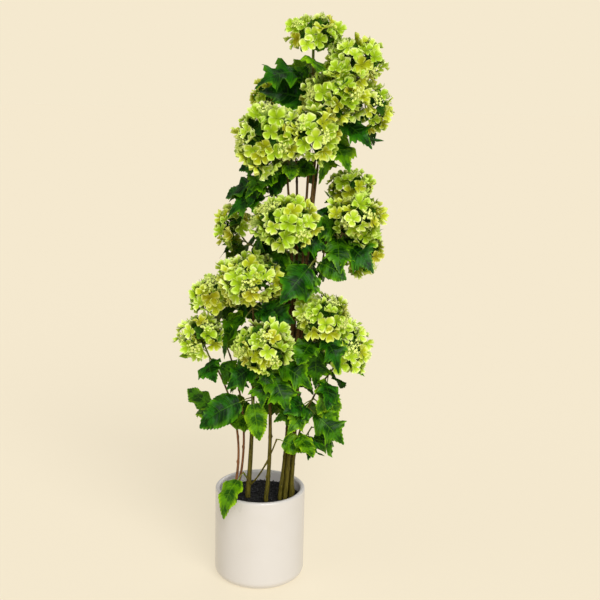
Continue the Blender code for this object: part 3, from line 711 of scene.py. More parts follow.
SPRAYS = {
    "spray_top": Spray("cane_top", None, (0.072, 0.008, 0.85), (
        Head(0.072, 0.0, 0.888, 0.041, 0.0295),), ((206, -2, 1.15), (75, -20, 1), (283, -6, 1))),
    "spray_upper_right": Spray("cane_upper_right", None, (0.106, 0.008, 0.78), (
        Head(0.108, -0.03, 0.799, 0.047, 0.037), Head(0.137, -0.01, 0.852, 0.042, 0.034)),
        ((285, -70, 0.9), (330, -18, 1.1), (230, -40, 0.8), (20, -5, 0.9))),
    "spray_right_top": Spray("cane_right", None, (0.124, 0.054, 0.752), (
        Head(0.165, 0.03, 0.782, 0.032, 0.038), Head(0.1, 0.078, 0.8, 0.04, 0.034)),
        ((300, -30, 1), (110, -20, 1), (318, -12, 1), (50, -12, 1))),
    "spray_upper_left": Spray("cane_upper_left", None, (0.036, -0.018, 0.7), (
        Head(0.003, -0.045, 0.735, 0.045, 0.05), Head(0.074, -0.05, 0.742, 0.038, 0.041)),
        ((340, -3, 0.7), (200, -26, 1), (212, -34, 0.8), (165, -8, 1))),
    "spray_back_upper": Spray("cane_back", None, (0.04, 0.046, 0.712), (
        Head(0.04, 0.07, 0.736, 0.038, 0.034), Head(0.002, 0.05, 0.797, 0.024, 0.022)),
        ((100, -15, 1), (20, -8, 0.9), (165, -20, 1), (190, 5, 0.8))),
    "spray_leaves_upper_left": Spray("cane_upper_left", 0.625, (-0.002, -0.002, 0.668), (),
        ((197, -6, 0.9), (130, -10, 1), (235, -22, 0.7), (165, -16, 0.9))),
    "spray_middle": Spray("cane_middle", None, (0.037, -0.024, 0.575), (
        Head(0.033, -0.06, 0.609, 0.049, 0.037),),
        ((285, -55, 1.1), (225, -60, 0.9), (150, -12, 1), (350, -8, 0.7))),
    "spray_middle_outer": Spray("bough_middle_left", None, (-0.03, 0.026, 0.565), (
        Head(-0.048, 0.03, 0.588, 0.027, 0.032),), ((185, -6, 0.6), (100, -25, 1), (250, -35, 1))),
    "spray_right_middle": Spray("bough_right_middle", None, (0.12, -0.004, 0.592), (
        Head(0.1445, -0.03, 0.618, 0.0385, 0.027), Head(0.158, 0.01, 0.56, 0.03, 0.042)),
        ((322, -20, 1), (268, -42, 0.9), (165, 50, 0.7), (60, -10, 1))),
    "spray_back_right": Spray("bough_back_right", None, (0.138, 0.074, 0.6), (
        Head(0.138, 0.06, 0.652, 0.036, 0.026), Head(0.15, 0.092, 0.59, 0.038, 0.034)),
        ((110, -40, 1), (30, -30, 1), (120, 10, 0.8))),
    "spray_back_middle": Spray("cane_back", 0.545, (0.04, 0.052, 0.572), (
        Head(0.024, 0.074, 0.592, 0.038, 0.034),), ((80, -30, 1), (150, -25, 1), (45, -8, 0.8))),
    "spray_centre_leaves": Spray("cane_upper_right", 0.52, (0.084, -0.04, 0.552), (),
        ((300, -55, 1), (345, -16, 0.9), (230, -36, 1.2))),
    "spray_left": Spray("cane_left_centre", None, (-0.016, -0.032, 0.478), (
        Head(-0.018, -0.05, 0.517, 0.048, 0.039),), ((195, -40, 1), (320, -45, 0.9), (110, -20, 1))),
    "spray_left_outer": Spray("cane_left_inner", None, (-0.07, 0.004, 0.436), (
        Head(-0.08, 0.0, 0.478, 0.038, 0.034),), ((40, -15, 0.9), (130, -30, 1), (160, -10, 0.6))),
    "spray_left_low": Spray("cane_left_outer", None, (-0.086, -0.01, 0.382), (
        Head(-0.097, -0.018, 0.414, 0.037, 0.032),), ((335, -24, 0.9), (275, -8, 0.8), (120, 0, 0.9))),
    "spray_back_left": Spray("bough_back_left", None, (-0.014, 0.062, 0.47), (
        Head(-0.033, 0.072, 0.492, 0.038, 0.034),), ((100, -35, 1), (170, -25, 1), (50, -20, 1))),
    "spray_centre_back": Spray("cane_middle", 0.405, (0.036, 0.014, 0.436), (
        Head(0.032, 0.03, 0.462, 0.023, 0.026),), ((180, -15, 1), (130, -50, 1))),
    "spray_right_centre": Spray("bough_right_centre", None, (0.088, -0.028, 0.428), (
        Head(0.092, -0.038, 0.457, 0.042, 0.033),), ((290, -55, 1), (20, 25, 0.7), (315, -36, 0.9))),
    "spray_right_low": Spray("cane_right_thin", None, (0.114, -0.012, 0.362), (
        Head(0.135, -0.01, 0.397, 0.036, 0.044),), ((335, -65, 0.8), (262, -38, 0.8), (60, 5, 0.9))),
    "spray_back_right_low": Spray("bough_back_right_low", None, (0.1, 0.064, 0.396), (
        Head(0.109, 0.082, 0.418, 0.038, 0.034),), ((80, -40, 1), (20, -30, 1), (140, -20, 1))),
    "spray_centre_low": Spray("cane_centre", None, (0.01, -0.046, 0.384), (
        Head(0.006, -0.07, 0.415, 0.044, 0.037),),
        ((255, -52, 0.8), (310, -46, 0.9), (200, -25, 0.9), (350, -20, 0.9))),
    "spray_back_low": Spray("bough_back_low", None, (0.016, 0.054, 0.366), (
        Head(-0.002, 0.066, 0.384, 0.038, 0.034),), ((95, -45, 1), (30, -35, 1), (160, -30, 1))),
    "spray_leaves_low_left": Spray("cane_left_outer", 0.258, (-0.072, -0.008, 0.288), (),
        ((350, 12, 0.8), (60, 12, 0.9), (140, -5, 0.8), (176, 34, 0.8))),
    "spray_leaves_low_centre": Spray("cane_left_centre", 0.3, (-0.014, -0.046, 0.33), (),
        ((165, 5, 1), (200, -14, 1), (300, -62, 0.75))),
    "spray_leaves_right": Spray("cane_upper_right", 0.29, (0.086, -0.036, 0.322), (),
        ((345, -34, 1), (240, -22, 0.7), (30, -20, 0.9))),
    "spray_leaves_low_right": Spray("cane_right_thin", 0.225, (0.084, -0.02, 0.268), (),
        ((30, -12, 0.9), (290, 5, 0.9), (350, 8, 0.8))),
    "spray_leaves_back_low": Spray("cane_back", 0.25, (0.046, 0.044, 0.296), (),
        ((150, 8, 0.9), (40, -20, 1), (100, -15, 1))),
    "spray_narrow_leaf": Spray("cane_top", 0.258, (0.054, -0.05, 0.268), (), ((318, -40, 0.8),)),
    "spray_pale_leaf": Spray("bough_low_shoot", None, (0.027, -0.05, 0.256), (), ((330, -5, 0.6),)),
    "spray_rim_leaf": Spray("cane_left_centre", 0.172, (-0.026, -0.044, 0.196), (), ((238, -36, 0.8),)),
}

# Sprays whose leaves are oval and hardly lobed, and sprays whose leaves are narrow and plain.
OVAL_LEAVES = {"spray_leaves_low_left", "spray_leaves_low_centre"}
SLIM_LEAVES = {"spray_rim_leaf", "spray_narrow_leaf"}
# Sprays that get no leaves between those of the solids.
OPEN_SHOOTS = {"spray_left_low", "spray_leaves_low_left", "spray_leaves_low_centre"}
# The spray with the stout stem, and the spray whose florets are mostly pale.
TOP_SPRAY = "spray_top"
PALE_SPRAY = "spray_right_low"
# Leaves that the solids leave out: heading, rise, size and place along the stem.
MORE_LEAVES = {
    "spray_upper_right": ((190, 25, 1.4, 0.52), (318, -42, 1.05, 0.2)),
    "spray_leaves_right": ((205, -22, 0.8, 0.9),),
}

# How far out a leaf's margin is, from its stalk to its tip, in leaf lengths.
LEAF_BODY = (
    (0.0, 0.0), (0.02, 0.13), (0.06, 0.28), (0.12, 0.4), (0.2, 0.455), (0.3, 0.455), (0.42, 0.42),
    (0.55, 0.36), (0.68, 0.29), (0.8, 0.2), (0.9, 0.11), (1.0, 0.0),
)
# The tip, the middle and both edges of a leaf, where it is tested for room.
LEAF_MARKS = ((1, 0), (0.6, 0), (0.5, 0.4), (0.5, -0.4))
LEAF_ROWS = 24
TOOTH = 0.009
# The cross lines that end in the points of the lobes, where the main side ribs run, and how far
# each point stands out.
LOBES = ((6, 0.19), (13, 0.25))
LOBE_ROWS = 3.8
LOBE_CUT = 0.44


def leaf_row(index: int, lobed: float) -> Three:
    """One cross line of a leaf.

    Args:
        index: Its number, from the stalk.
        lobed: 0 for a plain toothed leaf, and about 1 for a deeply lobed one.

    Returns:
        Where it meets the midrib and the margin, and how far out the margin is.
    """
    mid = (index / LEAF_ROWS) ** 1.15
    half = float(np.interp(mid, *zip(*LEAF_BODY))) * (1 - LOBE_CUT * lobed)
    if 0 < index < LEAF_ROWS:
        half += TOOTH if index % 2 else -TOOTH
    margin = mid + min(0.42, 2.3 * mid**0.6 - 0.55) * half
    for row, reach in LOBES:
        near = max(0.0, 1 - abs(index - row) / LOBE_ROWS)
        half += lobed * reach * near**1.2
        margin += 0.1 * lobed * near
    if index % 2:
        margin += 0.025 * min(1.0, half * 4)
    return mid, min(margin, 1.0), max(half, 0.0)


# ------ shader graphs
class Graph:
    """A node tree with short ways to add nodes and to join their sockets."""

    def __init__(self, tree: bpy.types.NodeTree) -> None:
        """Keep the tree."""
        self.tree = tree

    def add(self, kind: str, *values: object, **settings: object) -> Node:
        """Add a node and feed its first inputs.

        Args:
            kind: Its type, without the ShaderNode in front.
            values: What its inputs get, from the first on.
            settings: Values of its own fields.

        Returns:
            The node.
        """
        node = self.tree.nodes.new("ShaderNode" + kind)
        for name, value in settings.items():
            setattr(node, name, value)
        for socket, value in zip(node.inputs, values):
            self.feed(socket, value)
        return node

    def feed(self, socket: Socket, value: object) -> None:
        """Join an output to an input, or set the input's own number or colour.

        Args:
            socket: The input.
            value: An output, a number or a colour.
        """
        if isinstance(value, Socket):
            self.tree.links.new(value, socket)
        else:
            socket.default_value = (*value, 1.0) if isinstance(value, tuple) else value

    def fill(self, node: Node, **values: object) -> None:
        """Feed inputs of a node, each by its name with _ for a space."""
        for label, value in values.items():
            self.feed(node.inputs[label.replace("_", " ")], value)

    def math(self, operation: str, *values: object) -> Socket:
        """What an operation makes of numbers or sockets."""
        return self.add("Math", *values, operation=operation).outputs[0]

    def plus(self, first: object, second: object) -> Socket:
        """The sum of two numbers or sockets."""
        return self.math("ADD", first, second)

    def minus(self, first: object, second: object) -> Socket:
        """The first number or socket less the second."""
        return self.math("SUBTRACT", first, second)

    def times(self, first: object, second: object) -> Socket:
        """The product of two numbers or sockets."""
        return self.math("MULTIPLY", first, second)

    def band(self, value: object, low: float, high: float) -> Socket:
        """A smooth step of a number or socket, from 0 at low to 1 at high."""
        node = self.add("MapRange", value, low, high, 0.0, 1.0, interpolation_type="SMOOTHSTEP")
        return node.outputs[0]

    def mix(self, mask: object, first: object, second: object) -> Socket:
        """A colour between two others.

        Args:
            mask: 0 for the first and 1 for the second.
            first: A colour or socket.
            second: A colour or socket.

        Returns:
            The colour.
        """
        node = self.add("Mix", data_type="RGBA")
        for index, value in ((0, mask), (6, first), (7, second)):
            self.feed(node.inputs[index], value)
        return node.outputs[2]

    def noise(self, vector: Socket, scale: object, detail: float) -> Socket:
        """A noise from 0 to 1 over a vector, with a scale and a number of finer layers."""
        return self.add("TexNoise", vector, 0.0, scale, detail).outputs[0]

    def split(self, vector: Socket) -> list[Socket]:
        """The three coordinates of a vector."""
        return self.add("SeparateXYZ", vector).outputs[:]

    def bake_uv(self) -> tuple[Socket, Socket, Socket]:
        """The piece's bake map: the vector and both of its parts."""
        vector = self.add("UVMap", uv_map=BAKE_MAP).outputs[0]
        return vector, *self.split(vector)[:2]

    def fold(self, value: object, count: float) -> Socket:
        """Ridges along a value: 0 in the middle of each of the spans and 1 between them."""
        part = self.math("FRACT", self.times(value, count))
        return self.times(self.math("ABSOLUTE", self.minus(part, 0.5)), 2.0)


class Effect:
    """A shader node group that is built once and placed in each material that uses it."""

    def __init__(self, name: str, inputs: dict[str, object], outputs: dict[str, str]) -> None:
        """Make the group and its sockets.

        Args:
            name: The name of the group.
            inputs: The value that each named input starts with.
            outputs: The kind of each named output, Float or Color.
        """
        self.tree = bpy.data.node_groups.new(name, "ShaderNodeTree")
        self.graph = Graph(self.tree)
        for label, value in inputs.items():
            kind = "NodeSocketFloat" if isinstance(value, float) else "NodeSocketColor"
            socket = self.tree.interface.new_socket(label, in_out="INPUT", socket_type=kind)
            self.graph.feed(socket, value)
        for label, kind in outputs.items():
            self.tree.interface.new_socket(label, in_out="OUTPUT", socket_type="NodeSocket" + kind)
        self.given = self.tree.nodes.new("NodeGroupInput").outputs
        self.result = self.tree.nodes.new("NodeGroupOutput")

    def give(self, **values: object) -> None:
        """Feed the outputs of the group, each by its name with _ for a space."""
        self.graph.fill(self.result, **values)

    def place(self, graph: Graph, **values: object) -> bpy.types.bpy_prop_collection:
        """Place the group in a material.

        Args:
            graph: The material's graph.
            values: What its inputs get.

        Returns:
            Its outputs.
        """
        node = graph.add("Group", node_tree=self.tree)
        graph.fill(node, **values)
        return node.outputs


@cache
def mottle_effect() -> Effect:
    """Uneven colour over the piece's own Object coordinates, coarse and fine.

    Returns:
        The effect.
    """
    effect = Effect("Mottle", {
        "Scale": 40.0, "Length": 1.0, "Balance": 0.5, "Light": (1.0, 1.0, 1.0),
        "Dark": (0.5, 0.5, 0.5)}, {"Color": "Color", "Grain": "Float"})
    graph = effect.graph
    x, y, z = graph.split(graph.add("TexCoord").outputs["Object"])
    place = graph.add("CombineXYZ", x, y, graph.times(z, effect.given["Length"])).outputs[0]
    coarse = graph.noise(place, effect.given["Scale"], 5.0)
    fine = graph.noise(place, graph.times(effect.given["Scale"], 6.0), 2.0)
    grain = graph.plus(graph.times(coarse, 0.7), graph.times(fine, 0.3))
    shifted = graph.plus(grain, graph.minus(effect.given["Balance"], 0.5))
    mask = graph.band(shifted, 0.35, 0.65)
    effect.give(Color=graph.mix(mask, effect.given["Dark"], effect.given["Light"]), Grain=grain)
    return effect


@cache
def leaf_effect() -> Effect:
    """Ribs, margin and underside of a leaf, read from its own map.

    Returns:
        The effect.
    """
    effect = Effect("LeafPrint", {"Rib Width": 0.05}, {
        "Ribs": "Float", "Margin": "Float", "Underside": "Float", "Cloud": "Float", "Height": "Float"})
    graph = effect.graph
    vector, along, side = graph.bake_uv()
    out = graph.fold(side, 2.0)
    width = graph.times(effect.given["Rib Width"], graph.minus(1.25, along))
    midrib = graph.minus(1.0, graph.band(graph.math("DIVIDE", out, width), 0.6, 1.6))
    lobes = 0.0
    for row, _ in LOBES:
        away = graph.math("ABSOLUTE", graph.minus(along, 0.02 + 0.96 * row / LEAF_ROWS))
        lobes = graph.math("MAXIMUM", lobes, graph.minus(1.0, graph.band(away, 0.005, 0.017)))
    teeth = graph.minus(1.0, graph.band(graph.fold(along, 12.0), 0.06, 0.26))
    fading = graph.minus(1.0, graph.band(out, 0.55, 0.95))
    lobes = graph.times(lobes, graph.plus(graph.times(fading, 0.5), 0.4))
    teeth = graph.times(graph.times(teeth, fading), 0.45)
    ribs = graph.math("MAXIMUM", midrib, graph.math("MAXIMUM", lobes, teeth))
    cloud = graph.noise(vector, 5.0, 4.0)
    swell = graph.times(graph.fold(along, 12.0), 0.35)
    height = graph.plus(graph.minus(swell, ribs), graph.times(cloud, 0.4))
    underside = graph.math("LESS_THAN", side, 0.5)
    margin = graph.band(graph.plus(out, graph.times(cloud, 0.3)), 0.72, 1.2)
    effect.give(Ribs=ribs, Margin=margin, Underside=underside, Cloud=cloud, Height=height)
    return effect


@cache
def petal_effect() -> Effect:
    """Colour of a petal from its claw to its rim, with faint veins, read from its own map; the pale rim is
    partly the petal's own paler edge and partly painted highlight.

    Returns:
        The effect.
    """
    effect = Effect("PetalDyeAndHighlight", {
        "Heart": (1.0, 1.0, 0.2), "Blade": (0.5, 0.7, 0.1), "Rim": (0.8, 0.9, 0.4),
        "Blush": (0.6, 0.5, 0.2), "Blush Share": 0.0}, {"Color": "Color", "Height": "Float"})
    graph = effect.graph
    vector, along, side = graph.bake_uv()
    cloud = graph.noise(vector, 4.0, 3.0)
    from_middle = graph.math("ABSOLUTE", graph.minus(graph.times(side, 2.0), 1.0))
    # The rim: partly the petal's own paler edge and partly painted highlight where a cupped petal catches the
    # light.
    edge = graph.math("MAXIMUM", graph.band(along, 0.66, 1.0), graph.band(from_middle, 0.54, 1.0))
    edge = graph.times(edge, graph.plus(graph.times(cloud, 0.6), 0.6))
    veins = graph.minus(1.0, graph.band(graph.fold(side, 7.0), 0.1, 0.5))
    veins = graph.times(veins, graph.minus(1.0, graph.band(along, 0.5, 0.95)))
    blade = graph.mix(graph.times(cloud, effect.given["Blush Share"]), effect.given["Blade"],
                      effect.given["Blush"])
    blade = graph.mix(graph.times(veins, 0.25), blade, effect.given["Heart"])
    blade = graph.mix(edge, blade, effect.given["Rim"])
    heart = graph.minus(1.0, graph.band(along, 0.1, 0.66))
    effect.give(Color=graph.mix(heart, blade, effect.given["Heart"]),
                Height=graph.minus(cloud, graph.times(veins, 0.6)))
    return effect


# ------ finishes
def new_material(name: str, roughness: float) -> tuple[Material, Graph, Node]:
    """Make a material.

    Args:
        name: Its name.
        roughness: How dull it is.

    Returns:
        The material, its graph and its shader.
    """
    material = bpy.data.materials.new(name)
    material.use_nodes = True
    shader = material.node_tree.nodes["Principled BSDF"]
    shader.inputs["Roughness"].default_value = roughness
    return material, Graph(material.node_tree), shader


@dataclass(frozen=True)
class Finish:
    """What every finish has.

    Args:
        name: The name of its material.
        roughness: How dull it is.
        bump: How strong its relief is.
        bump_distance: How deep its relief is.
    """

    name: str
    roughness: float
    bump: float
    bump_distance: float

    def relief(self, graph: Graph, shader: Node, height: Socket) -> None:
        """Feed a height to the shader through a Bump node.

        Args:
            graph: The material's graph.
            shader: Its shader.
            height: The height.
        """
        node = graph.add("Bump")
        graph.fill(node, Strength=self.bump, Distance=self.bump_distance, Height=height)
        graph.fill(shader, Normal=node.outputs[0])


@dataclass(frozen=True)
class MottledFinish(Finish):
    """A glaze or earth: two close colours over Object coordinates.

    Args:
        light: The lighter colour.
        dark: The darker colour.
        scale: How fine the mottling is.
        length: How much it is squeezed along Z.
        balance: Above a half is mostly light.
        coat: Weight of the clear coat.
        specular: The shader's specular level.
    """

    light: Colour
    dark: Colour
    scale: float
    length: float = 1.0
    balance: float = 0.5
    coat: float = 0.0
    specular: float = 0.5

    def material(self) -> Material:
        """Build the material.

        Returns:
            The material.
        """
        material, graph, shader = new_material(self.name, self.roughness)
        result = mottle_effect().place(
            graph, Scale=self.scale, Length=self.length, Balance=self.balance, Light=self.light,
            Dark=self.dark)
        uneven = graph.times(graph.minus(result["Grain"], 0.5), 0.25)
        graph.fill(
            shader, Base_Color=result["Color"], Roughness=graph.plus(uneven, self.roughness),
            Coat_Weight=self.coat, Coat_Roughness=0.12, Specular_IOR_Level=self.specular)
        self.relief(graph, shader, result["Grain"])
        return material


@dataclass(frozen=True)
class BarkFinish(Finish):
    """Bark that is greener low down and darker above, with pale specks.

    Args:
        low: Colour near the soil.
        high: Colour of the upper cane.
        dark: Colour of the furrows.
        speck: Colour of the specks.
        change: Heights between which low turns into high.
    """

    low: Colour
    high: Colour
    dark: Colour
    speck: Colour
    change: Pair

    def material(self) -> Material:
        """Build the material.

        Returns:
            The material.
        """
        material, graph, shader = new_material(self.name, self.roughness)
        height = graph.split(graph.add("TexCoord").outputs["Object"])[2]
        tone = graph.mix(graph.band(height, *self.change), self.low, self.high)
        furrows = mottle_effect().place(
            graph, Scale=420.0, Length=0.12, Balance=0.56, Light=tone, Dark=self.dark)
        specks = mottle_effect().place(graph, Scale=900.0, Length=0.8, Balance=0.26)
        mask = graph.band(specks["Grain"], 0.6, 0.68)
        graph.fill(shader, Base_Color=graph.mix(mask, furrows["Color"], self.speck), Specular_IOR_Level=0.15)
        self.relief(graph, shader, furrows["Grain"])
        return material


@dataclass(frozen=True)
class LeafFinish(Finish):
    """A printed cloth leaf with ribs, a paler margin, a dull underside and darker clouds of painted shade.

    Args:
        blade: Colour of the upper side.
        shade: Colour of its darker clouds, which are painted shade.
        rib: Colour of the ribs.
        margin: Colour of the edge.
        underside: Colour of the lower side.
        coat: Weight of the waxy coat.
    """

    blade: Colour
    shade: Colour
    rib: Colour
    margin: Colour
    underside: Colour
    coat: float

    def material(self) -> Material:
        """Build the material.

        Returns:
            The material.
        """
        material, graph, shader = new_material(self.name, self.roughness)
        result = leaf_effect().place(graph, Rib_Width=0.055)
        # Darker clouds of painted shade over the blade, at random places.
        top = graph.mix(graph.band(result["Cloud"], 0.42, 0.61), self.shade, self.blade)
        top = graph.mix(graph.times(result["Margin"], 0.85), top, self.margin)
        ribs = graph.times(result["Ribs"], 0.36)
        top = graph.mix(ribs, top, self.rib)
        low = graph.mix(ribs, self.underside, self.rib)
        uneven = graph.plus(graph.times(result["Underside"], 0.22), graph.times(result["Cloud"], 0.16))
        graph.fill(
            shader, Base_Color=graph.mix(result["Underside"], top, low),
            Roughness=graph.plus(uneven, self.roughness - 0.08),
            Coat_Weight=graph.times(graph.minus(1.0, result["Underside"]), self.coat),
            Coat_Roughness=0.3, Specular_IOR_Level=0.1)
        self.relief(graph, shader, result["Height"])
        return material


@dataclass(frozen=True)
class PetalFinish(Finish):
    """A dyed cloth petal with a yellower heart and a paler rim, the rim partly its own paler edge and partly
    painted highlight.

    Args:
        heart: Colour of the claw and the eye.
        blade: Colour of the petal.
        rim: Colour of the edge, partly its own paler edge and partly painted highlight.
        blush: Colour of the brown-tinged clouds.
        blush_share: How much of the blade they take.
    """

    heart: Colour
    blade: Colour
    rim: Colour
    blush: Colour
    blush_share: float

    def material(self) -> Material:
        """Build the material.

        Returns:
            The material.
        """
        material, graph, shader = new_material(self.name, self.roughness)
        result = petal_effect().place(
            graph, Heart=self.heart, Blade=self.blade, Rim=self.rim, Blush=self.blush,
            Blush_Share=self.blush_share)
        graph.fill(
            shader, Base_Color=result["Color"], Sheen_Weight=0.04, Sheen_Roughness=0.5,
            Specular_IOR_Level=0.15)
        self.relief(graph, shader, result["Height"])
        return material


@dataclass(frozen=True)
class TwigFinish(Finish):
    """A wrapped wire stalk whose colour changes along it.

    Args:
        foot: Colour at its lower end.
        tip: Colour at its upper end.
    """

    foot: Colour
    tip: Colour

    def material(self) -> Material:
        """Build the material.

        Returns:
            The material.
        """
        material, graph, shader = new_material(self.name, self.roughness)
        vector, along, _ = graph.bake_uv()
        cloud = graph.noise(vector, 14.0, 3.0)
        mask = graph.band(graph.plus(along, graph.minus(cloud, 0.5)), 0.1, 0.9)
        graph.fill(shader, Base_Color=graph.mix(mask, self.foot, self.tip))
        self.relief(graph, shader, cloud)
        return material


GLAZE = MottledFinish(
    "white_glaze", 0.3, 0.03, 0.0006, light=(0.64, 0.612, 0.585), dark=(0.62, 0.588, 0.55),
    scale=5.0, balance=0.55, coat=0.3)
SOIL = MottledFinish(
    "black_soil", 0.85, 0.9, 0.0012, light=(0.016, 0.015, 0.013), dark=(0.003, 0.003, 0.003),
    scale=260.0, balance=0.45, specular=0.25)
CRUMB = MottledFinish(
    "soil_crumb", 0.5, 0.6, 0.0005, light=(0.022, 0.022, 0.026), dark=(0.004, 0.004, 0.004),
    scale=420.0, balance=0.42, specular=0.4)
BARKS = {
    BarkTone.OLIVE: BarkFinish(
        "olive_bark", 0.66, 0.7, 0.0007, low=(0.118, 0.098, 0.009), high=(0.175, 0.094, 0.026),
        dark=(0.01, 0.009, 0.002), speck=(0.3, 0.27, 0.08), change=(0.24, 0.44)),
    BarkTone.RED: BarkFinish(
        "red_bark", 0.62, 0.5, 0.0005, low=(0.27, 0.115, 0.045), high=(0.2, 0.145, 0.04),
        dark=(0.07, 0.028, 0.01), speck=(0.48, 0.38, 0.2), change=(0.24, 0.36)),
}
LEAF_FINISHES = {
    LeafTint.DEEP: LeafFinish(
        "leaf_deep", 0.44, 0.7, 0.0014, blade=(0.012, 0.1, 0.0004), shade=(0.0016, 0.022, 0.0002),
        rib=(0.045, 0.18, 0.0015), margin=(0.085, 0.28, 0.001), underside=(0.014, 0.065, 0.001),
        coat=0.06),
    LeafTint.MID: LeafFinish(
        "leaf_mid", 0.44, 0.7, 0.0014, blade=(0.04, 0.16, 0.0004), shade=(0.004, 0.036, 0.0003),
        rib=(0.1, 0.28, 0.002), margin=(0.19, 0.44, 0.002), underside=(0.034, 0.105, 0.002),
        coat=0.06),
    LeafTint.BRIGHT: LeafFinish(
        "leaf_bright", 0.44, 0.7, 0.0014, blade=(0.092, 0.255, 0.001), shade=(0.014, 0.074, 0.0004),
        rib=(0.17, 0.38, 0.004), margin=(0.34, 0.6, 0.005), underside=(0.075, 0.175, 0.003),
        coat=0.06),
    LeafTint.OLIVE: LeafFinish(
        "leaf_olive", 0.5, 0.7, 0.0014, blade=(0.064, 0.14, 0.0006), shade=(0.016, 0.05, 0.0004),
        rib=(0.15, 0.24, 0.005), margin=(0.26, 0.4, 0.006), underside=(0.075, 0.125, 0.004),
        coat=0.03),
}
# The rims are partly the petals' own paler edge and partly painted highlight.
PETAL_FINISHES = {
    PetalTint.LIME: PetalFinish(
        "petal_lime", 0.66, 0.4, 0.0008, heart=(0.21, 0.33, 0.001), blade=(0.38, 0.58, 0.005),
        rim=(0.73, 0.9, 0.21), blush=(0.27, 0.42, 0.002), blush_share=0.8),
    PetalTint.PALE: PetalFinish(
        "petal_pale", 0.66, 0.4, 0.0008, heart=(0.32, 0.49, 0.006), blade=(0.56, 0.75, 0.045),
        rim=(0.91, 0.98, 0.44), blush=(0.42, 0.57, 0.012), blush_share=0.7),
    PetalTint.YELLOW: PetalFinish(
        "petal_yellow", 0.66, 0.4, 0.0008, heart=(0.28, 0.32, 0.001), blade=(0.49, 0.57, 0.005),
        rim=(0.82, 0.91, 0.22), blush=(0.33, 0.4, 0.002), blush_share=0.8),
    PetalTint.TAN: PetalFinish(
        "petal_tan", 0.68, 0.4, 0.0008, heart=(0.28, 0.27, 0.001), blade=(0.48, 0.52, 0.007),
        rim=(0.84, 0.87, 0.22), blush=(0.36, 0.36, 0.004), blush_share=0.8),
    # The inner finish is painted shade: a dark green for the florets deep in a head.
    PetalTint.INNER: PetalFinish(
        "petal_inner_shade", 0.7, 0.4, 0.0008, heart=(0.012, 0.07, 0.001), blade=(0.038, 0.13, 0.002),
        rim=(0.1, 0.24, 0.005), blush=(0.024, 0.095, 0.001), blush_share=0.6),
}
STEM = TwigFinish("green_stem", 0.6, 0.4, 0.0004, foot=(0.14, 0.085, 0.018), tip=(0.14, 0.2, 0.01))
PETIOLE = TwigFinish("leaf_stalk", 0.55, 0.4, 0.0004, foot=(0.14, 0.12, 0.014), tip=(0.15, 0.25, 0.012))
PEDICEL = TwigFinish("flower_stalk", 0.6, 0.3, 0.0003, foot=(0.09, 0.15, 0.006), tip=(0.2, 0.32, 0.01))
BUD = TwigFinish("cream_bud", 0.6, 0.3, 0.0003, foot=(0.6, 0.75, 0.08), tip=(0.88, 0.93, 0.32))
BUD_STALK = TwigFinish("bud_stalk", 0.6, 0.3, 0.0003, foot=(0.28, 0.46, 0.02), tip=(0.76, 0.86, 0.26))


def stand(name: str, data: bpy.types.ID) -> bpy.types.Object:
    """Put a mesh, light or camera in the scene.

    Args:
        name: The name of its object.
        data: The mesh, light or camera.

    Returns:
        The object.
    """
    thing = bpy.data.objects.new(name, data)
    bpy.context.scene.collection.objects.link(thing)
    return thing


def add_piece(mesh: Mesh, finish: Finish, nodes: set[str]) -> bpy.types.Object:
    """Put a finished mesh in the scene in place of its CAD nodes.

    Args:
        mesh: The mesh, in its place.
        finish: What it is dressed in.
        nodes: The CAD nodes that it stands for.

    Returns:
        The object.
    """
    mesh.materials.append(finish.material())
    piece = stand(mesh.name, mesh)
    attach(piece, BODY)
    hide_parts(*sorted(nodes))
    faces = sum(len(polygon.vertices) - 2 for polygon in mesh.polygons)
    LOG.info("%s: %d triangles in %s", piece.name, faces, finish.name)
    return piece


# ------ pot and soil
@dataclass
class Pot:
    """The straight glazed pot.

    Args:
        steps: How many parts its circle has.
        rim_round: Rounding of the rim's two edges.
        foot_round: Rounding of the foot.
        inner_round: Rounding where the wall meets the floor inside.
    """

    steps: int = 128
    rim_round: float = 0.0035
    foot_round: float = 0.015
    inner_round: float = 0.004

    def build(self) -> Mesh:
        """Turn the wall and round its edges.

        Returns:
            The mesh.
        """
        inner = POT_RADIUS - POT_WALL
        profile = ((0, 0), (POT_RADIUS, 0), (POT_RADIUS, POT_HEIGHT), (inner, POT_HEIGHT), (inner, POT_FLOOR),
                   (0, POT_FLOOR))
        shape = turned(profile, self.steps)
        rounds = (
            (POT_RADIUS, 0, self.foot_round, 10), (POT_RADIUS, POT_HEIGHT, self.rim_round, 5),
            (inner, POT_HEIGHT, self.rim_round, 5), (inner, POT_FLOOR, self.inner_round, 3))
        for radius, height, size, segments in rounds:
            ring = [edge for edge in shape.edges if on_ring(edge, radius, height)]
            bmesh.ops.bevel(
                shape, geom=ring, offset=size, offset_type="OFFSET", segments=segments, profile=0.5,
                affect="EDGES", material=-1, clamp_overlap=False)
        return finish_shape(shape, "glazed_pot_shell", 40)

    def dress(self) -> None:
        """Add the pot to the scene."""
        add_piece(self.build(), GLAZE, {"pot"})


def turned(profile: Iterable[Pair], steps: int) -> Shape:
    """Turn a profile about Z into a closed skin that faces out.

    Args:
        profile: Radius and height of each of its corners.
        steps: How many parts the circle has.

    Returns:
        The bmesh.
    """
    shape = bmesh.new()
    corners = [shape.verts.new((radius, 0, height)) for radius, height in profile]
    line = [shape.edges.new(pair) for pair in zip(corners, corners[1:])]
    bmesh.ops.spin(
        shape, geom=corners + line, cent=(0, 0, 0), axis=(0, 0, 1), angle=2 * math.pi, steps=steps,
        use_merge=True)
    bmesh.ops.remove_doubles(shape, verts=shape.verts, dist=MERGE)
    bmesh.ops.recalc_face_normals(shape, faces=shape.faces)
    return shape


